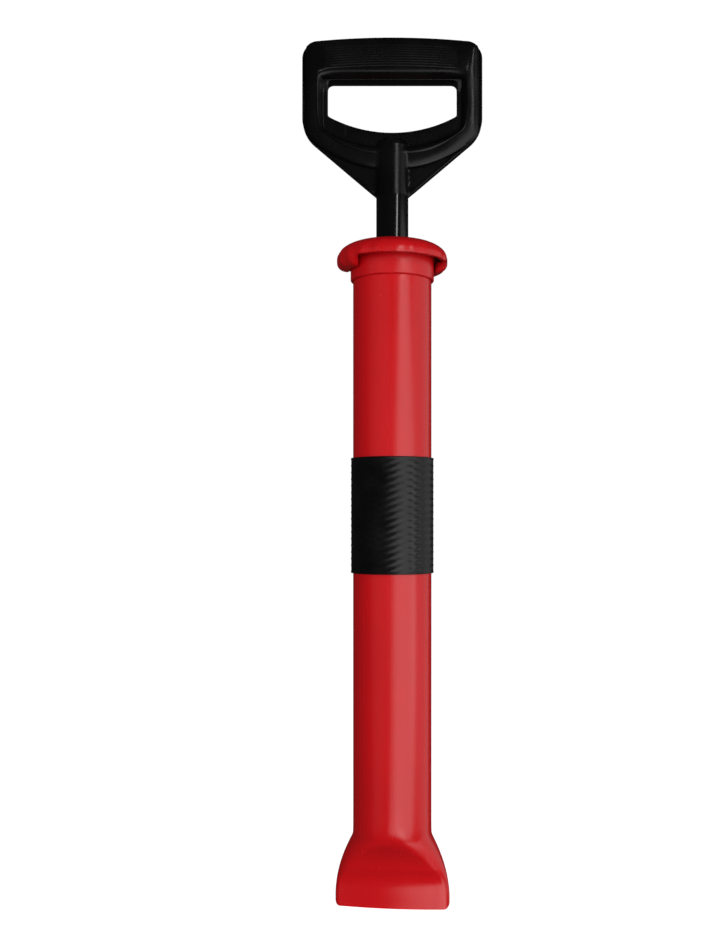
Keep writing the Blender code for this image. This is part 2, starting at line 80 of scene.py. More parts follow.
# The tube and its mouth, as the frame has them
WALL = 2.5 * MM
MOUTH_HALF_WIDTH = 46.15 * MM
MOUTH_WIDEST = 7.5 * MM
FLARE_TOP = 58.2 * MM
FLARE_BLEND = 1.0 * MM
FACE_BLEND = 3.2 * MM
FLARE_REACH = 16 * MM
CORNER_REACH = 14 * MM
LIP_HALF_DEPTH = 5.2 * MM
LIP_BOW = 3.2 * MM
LIP_BOW_AT_EDGE = 0.8  # the share of the bow that the mouth's very edge has
LIP_BOW_GROWTH = 16 * MM
LIP_BOW_FADE = (18 * MM, 50 * MM)
LIP_FADE = (14 * MM, 34 * MM)
ROUND_END = radians(15)  # how much of a turn each rounded end of the mouth takes up
MOUTH_ROWS = 0.75  # the share of the tube's rows that are in the mouth
MOUTH_TOP = FLARE_TOP + 18 * MM

# The thread between collar and cap
PITCH = 5 * MM
THREAD_TURNS = 1.75
THREAD_START = TUBE_TOP + 2.4 * MM
FEMALE_ROOT_R = 30.2 * MM
FEMALE_CREST_R = 29.0 * MM
MALE_ROOT_R = 28.6 * MM
MALE_CREST_R = 29.8 * MM
RIDGE_BASE = 2.2 * MM
RIDGE_CREST = 1.0 * MM


class PumpSizes(bpy.types.PropertyGroup):
    mouth_corner: FloatProperty(
        name="Mouth Corner",
        description="Radius of the rounding at the two ends of the mouth's edge",
        default=4.5 * MM,
        min=0.5 * MM,
        max=8 * MM,
        unit="LENGTH",
    )
    knurl_columns: IntProperty(
        name="Diamonds Around",
        description="Diamonds in one row round the rubber sleeve",
        default=15,
        min=8,
        max=40,
    )
    knurl_rows: IntProperty(
        name="Diamond Rows",
        description="Rows of diamonds up the rubber sleeve",
        default=17,
        min=4,
        max=40,
    )
    knurl_depth: FloatProperty(
        name="Knurl Depth",
        description="How deep the hollows between the diamonds are",
        default=0.5 * MM,
        min=0.0,
        max=0.8 * MM,
        unit="LENGTH",
    )
    flutes: IntProperty(
        name="Cap Flutes",
        description="Shallow finger flutes round the cap",
        default=20,
        min=0,
        max=36,
    )
    flute_depth: FloatProperty(
        name="Flute Depth",
        description="How deep the cap's flutes are",
        default=0.7 * MM,
        min=0.0,
        max=1.5 * MM,
        unit="LENGTH",
    )
    grip_ribs: IntProperty(
        name="Grip Ribs",
        description="Fine ribs along the bar of the grip",
        default=9,
        min=1,
        max=9,
    )
    rib_depth: FloatProperty(
        name="Rib Depth",
        description="How deep the grooves between the grip's ribs are",
        default=0.3 * MM,
        min=0.0,
        max=1.0 * MM,
        unit="LENGTH",
    )


class PumpColours(bpy.types.PropertyGroup):
    red: FloatVectorProperty(
        name="Red Plastic",
        description="Colour of the tube, the collar and the cap",
        subtype="COLOR",
        default=(0.635, 0.0045, 0.008),
        min=0.0,
        max=1.0,
    )
    black: FloatVectorProperty(
        name="Black Plastic",
        description="Colour of the grip, the rod and the discs",
        subtype="COLOR",
        default=(0.003, 0.003, 0.0031),
        min=0.0,
        max=1.0,
    )
    rubber: FloatVectorProperty(
        name="Rubber",
        description="Colour of the sleeve and the seals",
        subtype="COLOR",
        default=(0.004, 0.004, 0.004),
        min=0.0,
        max=1.0,
    )
    acetal: FloatVectorProperty(
        name="White Plastic",
        description="Colour of the bush and the spacer",
        subtype="COLOR",
        default=(0.78, 0.76, 0.71),
        min=0.0,
        max=1.0,
    )
    zinc: FloatVectorProperty(
        name="Zinc",
        description="Colour of the plated steel",
        subtype="COLOR",
        default=(0.62, 0.62, 0.60),
        min=0.0,
        max=1.0,
    )


# Modelling tools that the pieces share


def only(piece):
    for other in bpy.context.selected_objects:
        other.select_set(False)
    piece.select_set(True)
    bpy.context.view_layer.objects.active = piece


def named(name):
    piece = bpy.context.object
    piece.name = piece.data.name = name
    return piece


def settle(piece):
    """Puts the piece's place in its mesh, so that its object sits at the origin."""
    only(piece)
    bpy.ops.object.transform_apply(location=True, rotation=True, scale=True)


def edit(piece):
    only(piece)
    bpy.ops.object.mode_set(mode="EDIT")


def leave():
    bpy.ops.object.mode_set(mode="OBJECT")


def select_where(piece, test, kind="VERT"):
    """Selects the vertices or the faces whose place passes the test. It is called in object mode."""
    edit(piece)
    bpy.ops.mesh.select_mode(type=kind)
    bpy.ops.mesh.select_all(action="DESELECT")
    leave()
    if kind == "VERT":
        for vertex in piece.data.vertices:
            vertex.select = test(vertex.co)
    else:
        for face in piece.data.polygons:
            face.select = test(face.center, face.normal)
    bpy.ops.object.mode_set(mode="EDIT")


def close_up(piece):
    """Merges the seam and turns the faces outwards."""
    edit(piece)
    bpy.ops.mesh.select_mode(type="VERT")
    bpy.ops.mesh.select_all(action="SELECT")
    bpy.ops.mesh.remove_doubles(threshold=0.001 * MM)
    bpy.ops.mesh.normals_make_consistent(inside=False)
    leave()


def modify(piece, kind, **settings):
    only(piece)
    step = piece.modifiers.new(kind, kind)
    for setting, value in settings.items():
        setattr(step, setting, value)
    bpy.ops.object.modifier_apply(modifier=step.name)


def round_edges(piece, width, segments=3, angle=30):
    modify(
        piece,
        "BEVEL",
        width=width,
        segments=segments,
        limit_method="ANGLE",
        angle_limit=radians(angle),
        miter_outer="MITER_ARC",
    )


def extrude(rise):
    """Draws the selection up or down from the mesh. It is called in edit mode, as is widen."""
    bpy.ops.mesh.extrude_region_move(TRANSFORM_OT_translate={"value": (0, 0, rise)})


def widen(grow, height):
    """Grows or shrinks the selection about the axis."""
    bpy.ops.transform.resize(value=(grow, grow, 1), center_override=(0, 0, height))


def combine(piece, tool, operation):
    """Joins or cuts a piece with a tool, which is then thrown away."""
    modify(piece, "BOOLEAN", operation=operation, solver="EXACT", object=tool)
    bpy.data.objects.remove(tool, do_unlink=True)


def turned(name, profile, sides=96, solid=False):
    """Raises a round piece ring by ring, from (radius, height) points. A solid one is capped at both ends."""
    radius, height = profile[0]
    bpy.ops.mesh.primitive_circle_add(vertices=sides, radius=radius, location=(0, 0, height))
    piece = named(name)
    settle(piece)
    edit(piece)
    bpy.ops.mesh.select_mode(type="VERT")
    bpy.ops.mesh.select_all(action="SELECT")
    for next_radius, next_height in profile[1:] + ([] if solid else profile[:1]):
        extrude(next_height - height)
        widen(next_radius / radius, next_height)
        radius, height = next_radius, next_height
    if solid:
        bpy.ops.mesh.select_all(action="SELECT")
        bpy.ops.mesh.fill_holes(sides=0)
    leave()
    close_up(piece)
    return piece


def wrapped(name, columns, rows, place, poked=False):
    """Wraps a flat grid round the axis. place(turn, rise) gives each point from its shares of the grid."""
    bpy.ops.mesh.primitive_grid_add(x_subdivisions=columns, y_subdivisions=rows, size=2)
    piece = named(name)
    if poked:
        edit(piece)
        bpy.ops.mesh.select_all(action="SELECT")
        bpy.ops.mesh.poke()
        leave()
    for vertex in piece.data.vertices:
        vertex.co = place((vertex.co.x + 1) / 2, (vertex.co.y + 1) / 2)
    close_up(piece)
    return piece


def bar_along_y(radius, start, end, height, sides=24):
    """A round bar across the plunger, square to its grip."""
    bpy.ops.mesh.primitive_cylinder_add(
        vertices=sides,
        radius=radius,
        depth=end - start,
        location=(0, (start + end) / 2, height),
        rotation=(pi / 2, 0, 0),
    )
    bar = named("bar")
    settle(bar)
    return face_grip(bar)


def middle_of(node):
    """The height of the middle of a node's box."""
    low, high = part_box(node)
    return (low.z + high.z) / 2


def face_grip(piece):
    """Turns a piece of the plunger to where the grip stands at rest."""
    piece.rotation_euler.z = HANDLE_TURN
    settle(piece)
    return piece


def arc(centre_x, centre_z, radius, start, end, steps):
    """Points of an arc, with its angles in degrees."""
    angles = [radians(start + (end - start) * i / steps) for i in range(steps + 1)]
    return [(centre_x + radius * cos(a), centre_z + radius * sin(a)) for a in angles]


def ease(value, low, high):
    """Runs smoothly from 0 to 1 as the value goes from low to high."""
    share = min(max((value - low) / (high - low), 0), 1)
    return share * share * (3 - 2 * share)


def hand_over(piece, node, body, finish, crease=32):
    """Gives a finished piece its material and its body, and hides the frame's node that it stands for."""
    only(piece)
    bpy.ops.object.shade_smooth_by_angle(angle=radians(crease))
    piece.data.materials.clear()
    piece.data.materials.append(finish)
    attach(piece, body)
    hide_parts(node)


# Materials. Groups hold the effects that several finishes share.


def add(tree, kind, inputs=None, **settings):
    """Adds a node. Inputs are values or other nodes' sockets."""
    made = tree.nodes.new(kind)
    for setting, value in settings.items():
        setattr(made, setting, value)
    for name, value in (inputs or {}).items():
        if isinstance(value, bpy.types.NodeSocket):
            tree.links.new(value, made.inputs[name])
        else:
            made.inputs[name].default_value = value
    return made


def new_group(name, values):
    """A node group with a vector input and the named values, each (name, default)."""
    group = bpy.data.node_groups.new(name, "ShaderNodeTree")
    group.interface.new_socket("Vector", in_out="INPUT", socket_type="NodeSocketVector")
    for value_name, default in values:
        made = group.interface.new_socket(value_name, in_out="INPUT", socket_type="NodeSocketFloat")
        made.default_value = default
    return group, group.nodes.new("NodeGroupInput")


def group_output(group, **sockets):
    for name in sockets:
        group.interface.new_socket(name, in_out="OUTPUT", socket_type="NodeSocketFloat")
    end = group.nodes.new("NodeGroupOutput")
    for name, socket in sockets.items():
        group.links.new(socket, end.inputs[name])


def noise(tree, vector, scale, detail, **settings):
    """A noise texture's value. The scale may be a socket."""
    inputs = {"Vector": vector, "Scale": scale, "Detail": detail, **settings}
    return add(tree, "ShaderNodeTexNoise", inputs).outputs["Fac"]


def reckon(tree, operation, *values):
    """One step of arithmetic on values or sockets."""
    return add(tree, "ShaderNodeMath", dict(enumerate(values)), operation=operation).outputs[0]


def moulded_grain_group():
    """The fine orange-peel of moulded plastic, and broad patches of slightly different shade."""
    group, start = new_group("moulded_grain", [("Grain Size", 1600.0), ("Patch Size", 28.0)])
    vector = start.outputs["Vector"]
    grain = noise(group, vector, start.outputs["Grain Size"], 3.0, Roughness=0.6)
    patches = noise(group, vector, start.outputs["Patch Size"], 4.0, Roughness=0.55)
    group_output(group, Height=grain, Patches=patches)
    return group


def drawn_lines_group():
    """The long lines that a die leaves along an extruded tube."""
    group, start = new_group("drawn_lines", [("Lines", 900.0)])
    stretch = {"Vector": start.outputs["Vector"], "Scale": (1.0, 1.0, 0.006)}
    stretched = add(group, "ShaderNodeMapping", stretch).outputs["Vector"]
    fine = noise(group, stretched, start.outputs["Lines"], 4.0)
    broad = noise(group, stretched, 120.0, 2.0)
    group_output(group, Height=fine, Streaks=broad)
    return group


def hairlines_group():
    """Sparse hairline scuffs from handling, as a mask."""
    group, start = new_group("hairlines", [("Scale", 60.0), ("Share", 0.4)])
    vector = start.outputs["Vector"]
    slant = {"Vector": vector, "Rotation": (0.3, 0.5, 0.2), "Scale": (1.0, 1.0, 0.15)}
    slanted = add(group, "ShaderNodeMapping", slant).outputs["Vector"]
    field = noise(group, slanted, start.outputs["Scale"], 1.0, Distortion=0.6)
    line = reckon(group, "COMPARE", field, 0.5, 0.004)
    patches = reckon(group, "LESS_THAN", noise(group, vector, 35.0, 2.0), start.outputs["Share"])
    group_output(group, Mask=reckon(group, "MULTIPLY", line, patches))
    return group


def turning_marks_group():
    """Fine rings round the axis, as a lathe or a circular brush leaves."""
    group, start = new_group("turning_marks", [("Rings", 2600.0)])
    parts = add(group, "ShaderNodeSeparateXYZ", {"Vector": start.outputs["Vector"]}).outputs
    flat = add(group, "ShaderNodeCombineXYZ", {"X": parts["X"], "Y": parts["Y"], "Z": 0.0})
    radius = add(group, "ShaderNodeVectorMath", {0: flat.outputs["Vector"]}, operation="LENGTH")
    place = {"X": radius.outputs["Value"], "Y": 0.0, "Z": parts["Z"]}
    along = add(group, "ShaderNodeCombineXYZ", place).outputs["Vector"]
    group_output(group, Height=noise(group, along, start.outputs["Rings"], 2.0))
    return group


def place_group(tree, group, vector, **values):
    made = tree.nodes.new("ShaderNodeGroup")
    made.node_tree = group
    tree.links.new(vector, made.inputs["Vector"])
    for name, value in values.items():
        made.inputs[name.replace("_", " ")].default_value = value
    return made


def mix_colours(tree, share, first, second):
    mixed = add(tree, "ShaderNodeMix", data_type="RGBA")
    tree.links.new(share, mixed.inputs[0])
    mixed.inputs[6].default_value = (*first, 1.0)
    mixed.inputs[7].default_value = (*second, 1.0)
    return mixed.outputs[2]


def spread(tree, value, low, high, source=(0.3, 0.7)):
    """Maps a noise to a range of values."""
    mapped = add(
        tree,
        "ShaderNodeMapRange",
        {"Value": value, "From Min": source[0], "From Max": source[1], "To Min": low, "To Max": high},
    )
    return mapped.outputs["Result"]


def shade(colour, factor):
    return tuple(channel * factor for channel in colour)


class Finish:
    """A material with a Principled shader and the object's own coordinates."""

    def __init__(self, name, **constants):
        self.material = bpy.data.materials.new(name)
        self.material.use_nodes = True
        self.tree = self.material.node_tree
        self.shader = self.tree.nodes["Principled BSDF"]
        self.vector = self.tree.nodes.new("ShaderNodeTexCoord").outputs["Object"]
        for constant, value in constants.items():
            self.shader.inputs[constant.replace("_", " ")].default_value = value

    def effect(self, group, **values):
        """Places a shared group and gives its outputs."""
        return place_group(self.tree, group, self.vector, **values).outputs

    def feed(self, name, socket):
        self.tree.links.new(socket, self.shader.inputs[name])

    def cloud(self, patches, dark, light):
        """Lets the colour drift between two shades."""
        share = spread(self.tree, patches, 0.0, 1.0)
        self.feed("Base Color", mix_colours(self.tree, share, dark, light))

    def roughen(self, patches, low, high, marks=None, weight=0.0):
        """Lets the roughness drift between two values, and adds some on the marks."""
        rough = spread(self.tree, patches, low, high)
        if marks:
            rough = reckon(self.tree, "MULTIPLY_ADD", marks, weight, rough)
        self.feed("Roughness", rough)

    def bump(self, height, distance, strength):
        inputs = {"Height": height, "Distance": distance, "Strength": strength}
        self.feed("Normal", add(self.tree, "ShaderNodeBump", inputs).outputs["Normal"])


def red_tube_finish(colour, lines, grain, hairlines):
    """Extruded satin tube: long die lines, faint cloudiness and a few hairline scuffs."""
    finish = Finish("red_tube", Specular_IOR_Level=0.5)
    drawn = finish.effect(lines)
    patches = finish.effect(grain, Patch_Size=14.0)["Patches"]
    scuff = finish.effect(hairlines, Scale=40.0, Share=0.42)["Mask"]
    finish.cloud(patches, shade(colour, 0.95), shade(colour, 1.05))
    finish.roughen(drawn["Streaks"], 0.23, 0.28, scuff, 0.012)
    finish.bump(drawn["Height"], 0.004 * MM, 0.5)
    return finish.material


def red_moulding_finish(colour, grain, hairlines):
    """Injection-moulded satin plastic: the cap and the collar."""
    finish = Finish("red_moulding", Specular_IOR_Level=0.5)
    peel = finish.effect(grain, Grain_Size=1400.0, Patch_Size=40.0)
    scuff = finish.effect(hairlines, Scale=80.0, Share=0.45)["Mask"]
    finish.cloud(peel["Patches"], shade(colour, 0.94), shade(colour, 1.03))
    finish.roughen(peel["Patches"], 0.26, 0.33, scuff, 0.06)
    finish.bump(peel["Height"], 0.02 * MM, 0.5)
    return finish.material


def black_moulding_finish(colour, grain, hairlines):
    """Black satin moulding with a fine spark-eroded grain."""
    finish = Finish("black_moulding", Specular_IOR_Level=0.26)
    peel = finish.effect(grain, Grain_Size=1900.0, Patch_Size=30.0)
    scuff = finish.effect(hairlines, Scale=70.0, Share=0.45)["Mask"]
    finish.cloud(peel["Patches"], shade(colour, 0.8), shade(colour, 1.5))
    finish.roughen(peel["Patches"], 0.24, 0.31, scuff, 0.15)
    finish.bump(peel["Height"], 0.025 * MM, 0.6)
    return finish.material


def black_tube_finish(colour, lines, hairlines):
    """The rod's smooth black tube, with lines and fine wear along its stroke."""
    finish = Finish("black_tube", Specular_IOR_Level=0.55)
    drawn = finish.effect(lines, Lines=1300.0)
    scuff = finish.effect(hairlines, Scale=90.0, Share=0.5)["Mask"]
    finish.cloud(drawn["Streaks"], shade(colour, 0.8), shade(colour, 1.6))
    finish.roughen(drawn["Streaks"], 0.11, 0.15, scuff, 0.1)
    finish.bump(drawn["Height"], 0.01 * MM, 0.6)
    return finish.material


def rubber_finish(name, colour, grain, roughness):
    """Matt rubber with a dry bloom on it."""
    finish = Finish(name, Specular_IOR_Level=0.36)
    skin = finish.effect(grain, Grain_Size=2400.0, Patch_Size=60.0)
    finish.cloud(skin["Patches"], shade(colour, 0.75), shade(colour, 1.5))
    finish.roughen(skin["Patches"], roughness - 0.05, roughness + 0.07)
    finish.bump(skin["Height"], 0.03 * MM, 0.6)
    return finish.material


def acetal_finish(colour, marks, grain):
    """Off-white turned plastic with its tool marks."""
    finish = Finish("white_acetal", Specular_IOR_Level=0.45, Subsurface_Weight=0.1)
    rings = finish.effect(marks, Rings=1800.0)["Height"]
    patches = finish.effect(grain, Patch_Size=50.0)["Patches"]
    finish.cloud(patches, shade(colour, 0.92), colour)
    finish.roughen(rings, 0.34, 0.5)
    finish.bump(rings, 0.02 * MM, 0.6)
    return finish.material


def zinc_finish(colour, marks, grain):
    """Bright zinc plate with faint spangle and brush marks."""
    finish = Finish("zinc_plate", Metallic=1.0)
    rings = finish.effect(marks, Rings=3200.0)["Height"]
    patches = finish.effect(grain, Patch_Size=160.0)["Patches"]
    dull = (colour[0] * 0.86, colour[1] * 0.84, colour[2] * 0.74)
    finish.cloud(patches, dull, colour)
    finish.roughen(patches, 0.22, 0.36, rings, 0.08)
    finish.bump(rings, 0.008 * MM, 0.5)
    return finish.material


FINISHES = {}


class PUMP_OT_finishes(bpy.types.Operator):
    """Make the pump's materials"""

    bl_idname = "pump.finishes"
    bl_label = "Finishes"

    def execute(self, context):
        colours = context.scene.pump_colours
        grain = moulded_grain_group()
        lines = drawn_lines_group()
        hairlines = hairlines_group()
        marks = turning_marks_group()
        red, black, rubber = tuple(colours.red), tuple(colours.black), tuple(colours.rubber)
        FINISHES["red_tube"] = red_tube_finish(red, lines, grain, hairlines)
        FINISHES["red_moulding"] = red_moulding_finish(red, grain, hairlines)
        FINISHES["black_moulding"] = black_moulding_finish(black, grain, hairlines)
        FINISHES["black_tube"] = black_tube_finish(black, lines, hairlines)
        FINISHES["sleeve_rubber"] = rubber_finish("sleeve_rubber", rubber, grain, 0.35)
        FINISHES["seal_rubber"] = rubber_finish("seal_rubber", rubber, grain, 0.55)
        FINISHES["acetal"] = acetal_finish(tuple(colours.acetal), marks, grain)
        FINISHES["zinc"] = zinc_finish(tuple(colours.zinc), marks, grain)
        return {"FINISHED"}


# Outlines and profiles

ROUND_STEPS = 3


def rounded(profile, radius, closed=True):
    """Rounds the corners of an outline, by less where its sides are short."""
    made = []
    for i, corner in enumerate(profile):
        here = Vector(corner)
        before = Vector(profile[i - 1]) - here
        after = Vector(profile[(i + 1) % len(profile)]) - here
        turn = pi - before.angle(after, pi)
        at_end = not closed and i in (0, len(profile) - 1)
        if at_end or turn < radians(25):
            made.append(corner)
            continue
        cut = min(radius * abs(sin(turn / 2) / cos(turn / 2)), 0.45 * before.length, 0.45 * after.length)
        start = here + before.normalized() * cut
        end = here + after.normalized() * cut
        for step in range(ROUND_STEPS + 1):
            share = step / ROUND_STEPS
            rest = 1 - share
            made.append(tuple(start * rest * rest + here * 2 * share * rest + end * share * share))
    return made


def divided(profile, inner_r, bottom, top, step):
    """Adds points along the sides of an outline that are outside a radius and between two heights."""

    def inside(point):
        return point[0] > inner_r - 0.01 * MM and bottom - 0.01 * MM < point[1] < top

    made = []
    for start, end in zip(profile, profile[1:] + profile[:1]):
        made.append(start)
        if not (inside(start) and inside(end)):
            continue
        side = Vector(end) - Vector(start)
        count = int(side.length / step)
        made += [tuple(Vector(start) + side * i / (count + 1)) for i in range(1, count + 1)]
    return made


def rows(radius, bottom, top, step):
    """Close rings up a wall that will get a thread."""
    count = max(2, round(abs(top - bottom) / step))
    return [(radius, bottom + (top - bottom) * i / count) for i in range(count + 1)]


def reshape(piece, move):
    """Moves points of a round piece. move(radius, angle, z) gives a new radius and z, or None to leave it."""
    for vertex in piece.data.vertices:
        x, y, z = vertex.co
        radius = sqrt(x * x + y * y)
        moved = move(radius, np.arctan2(y, x), z)
        if moved:
            new_radius, new_z = moved
            grow = new_radius / radius
            vertex.co = (x * grow, y * grow, new_z)


def cut_thread(piece, wall_r, crest_r, start, turns, pitch, base, crest):
    """Raises a helical ridge from a wall's close rings. Its two ends fade into the wall."""

    def move(radius, angle, z):
        if abs(radius - wall_r) > 0.02 * MM:
            return None
        around = (angle / tau) % 1
        rise = (z - start) / pitch - around
        turn = round(rise)
        off = abs(rise - turn) * pitch
        ridge = min(max((base / 2 - off) / (base / 2 - crest / 2), 0), 1)
        along = turn + around
        fade = ease(along, 0, 0.12) * (1 - ease(along, turns - 0.12, turns))
        return wall_r + (crest_r - wall_r) * ridge * fade, z

    reshape(piece, move)


def ring_profile(inner, outer, bottom, top):
    return [(inner, bottom), (outer, bottom), (outer, top), (inner, top)]


def plain_ring(name, node, body, slot, finish, bore, edge_r):
    """A ring with a square section and rounded edges, which fills its node's box round a bore."""
    low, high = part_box(node)
    ring = turned(name, rounded(ring_profile(bore, high.x, low.z, high.z), edge_r))
    hand_over(ring, node, body, FINISHES[finish])


# The tube: its girth stays the same while the mouth is pressed flat and wide


def mouth_half_width(height, blend):
    flare_r = (FLARE_TOP - MOUTH_WIDEST) ** 2 / (2 * (MOUTH_HALF_WIDTH - TUBE_R))
    flare = MOUTH_HALF_WIDTH - max(height - MOUTH_WIDEST, 0) ** 2 / (2 * flare_r)
    return (TUBE_R + flare + sqrt((TUBE_R - flare) ** 2 + blend**2)) / 2


def barrel_point(turn, rise, corner_r):
    """A point of the tube's outer face."""
    if rise < MOUTH_ROWS:
        height = MOUTH_TOP * rise / MOUTH_ROWS
    else:
        height = MOUTH_TOP + (TUBE_TOP - MOUTH_TOP) * (rise - MOUTH_ROWS) / (1 - MOUTH_ROWS)
    angle = tau * turn
    if height > FLARE_TOP + FLARE_REACH:
        return (TUBE_R * cos(angle), TUBE_R * sin(angle), height)
    settled = ease(height, FLARE_TOP, FLARE_TOP + FLARE_REACH)
    half_width = mouth_half_width(height, FLARE_BLEND)
    half_width += (TUBE_R - half_width) * settled
    soft_width = mouth_half_width(height, FACE_BLEND)
    half_depth = max((tau * TUBE_R - 4 * soft_width) / (tau - 4), 0)
    half_depth += (TUBE_R - half_depth) * settled
    half_depth += (LIP_HALF_DEPTH - half_depth) * (1 - ease(height, *LIP_FADE))
    flat = max(-1, min(1, cos(angle) / sin(ROUND_END)))
    x = (half_width - half_depth) * flat + half_depth * cos(angle)
    bow_share = LIP_BOW_AT_EDGE + (1 - LIP_BOW_AT_EDGE) * ease(height, 0, LIP_BOW_GROWTH)
    bow = LIP_BOW * (1 - flat * flat) ** 1.2 * bow_share * (1 - ease(height, *LIP_BOW_FADE))
    y = half_depth * sin(angle) + (bow if angle < pi else -bow)
    into_corner = max(abs(x) - (MOUTH_HALF_WIDTH - corner_r), 0)
    lift = corner_r - sqrt(max(corner_r**2 - into_corner**2, 0))
    return (x, y, height + lift * max(0, 1 - height / CORNER_REACH))


class PUMP_OT_barrel(bpy.types.Operator):
    """Model the tube and its pressed mouth"""

    bl_idname = "pump.barrel"
    bl_label = "Barrel"

    def execute(self, context):
        corner_r = context.scene.pump_sizes.mouth_corner
        barrel = wrapped("red_barrel", 192, 108, lambda turn, rise: barrel_point(turn, rise, corner_r))
        modify(barrel, "SOLIDIFY", thickness=WALL, offset=-1, use_even_offset=True, use_rim=True)
        round_edges(barrel, 0.8 * MM, 3, 60)
        hand_over(barrel, "barrel", "tube", FINISHES["red_tube"])
        return {"FINISHED"}


class PUMP_OT_collar(bpy.types.Operator):
    """Model the threaded collar on the tube's neck"""

    bl_idname = "pump.collar"
    bl_label = "Neck Collar"

    def execute(self, context):
        socket_r = TUBE_R + GAP
        shoulder = TUBE_TOP + GAP
        bottom, top = collar_low.z, collar_high.z
        chamfer = 0.8 * MM
        profile = [(socket_r, bottom), (COLLAR_R - chamfer, bottom), (COLLAR_R, bottom + chamfer)]
        profile += [(COLLAR_R, top - 0.6 * MM), (COLLAR_R - 0.6 * MM, top)]
        profile += rows(FEMALE_ROOT_R, top, shoulder, 0.4 * MM)
        profile += [(socket_r, shoulder)]
        collar = turned("red_collar", rounded(profile, 0.35 * MM), 144)
        ridge = (RIDGE_BASE, RIDGE_CREST)
        cut_thread(collar, FEMALE_ROOT_R, FEMALE_CREST_R, THREAD_START, THREAD_TURNS, PITCH, *ridge)
        hand_over(collar, "neck_collar", "tube", FINISHES["red_moulding"])
        return {"FINISHED"}


class PUMP_OT_sleeve(bpy.types.Operator):
    """Model the rubber sleeve with its diamond knurl"""

    bl_idname = "pump.sleeve"
    bl_label = "Grip Sleeve"

    def execute(self, context):
        sizes = context.scene.pump_sizes
        columns, diamonds = sizes.knurl_columns * 2, sizes.knurl_rows * 2
        rim = 0.9 * MM
        rounding = 0.3 * MM
        steps = 4
        height = sleeve_high.z - sleeve_low.z - 2 * rim

        def place(turn, rise):
            across, up = turn * columns, rise * diamonds
            crown = 0.5 + 0.5 * cos(pi * across) * cos(pi * up)
            edge = min(rise, 1 - rise) * diamonds
            sunk = sizes.knurl_depth * (1 - crown) * ease(edge, 0, 0.4)
            radius = SLEEVE_R - sunk
            angle = tau * turn
            return (radius * cos(angle), radius * sin(angle), sleeve_low.z + rim + height * rise)

        sleeve = wrapped("knurled_sleeve", columns * steps, diamonds * steps, place, poked=True)
        inner = TUBE_R + GAP
        end_r = SLEEVE_R - rounding
        for end_z, away in ((sleeve_low.z, -rim), (sleeve_high.z, rim)):
            select_where(sleeve, lambda place: abs(place.z - (end_z - away)) < 0.01 * MM)
            extrude(away * 0.7)
            extrude(away * 0.3)
            widen(end_r / SLEEVE_R, end_z)
            extrude(0)
            widen(inner / end_r, end_z)
            leave()
        select_where(sleeve, lambda place: Vector((place.x, place.y)).length < inner + 0.01 * MM)
        bpy.ops.mesh.bridge_edge_loops()
        leave()
        close_up(sleeve)
        hand_over(sleeve, "grip_sleeve", "tube", FINISHES["sleeve_rubber"], 60)
        return {"FINISHED"}


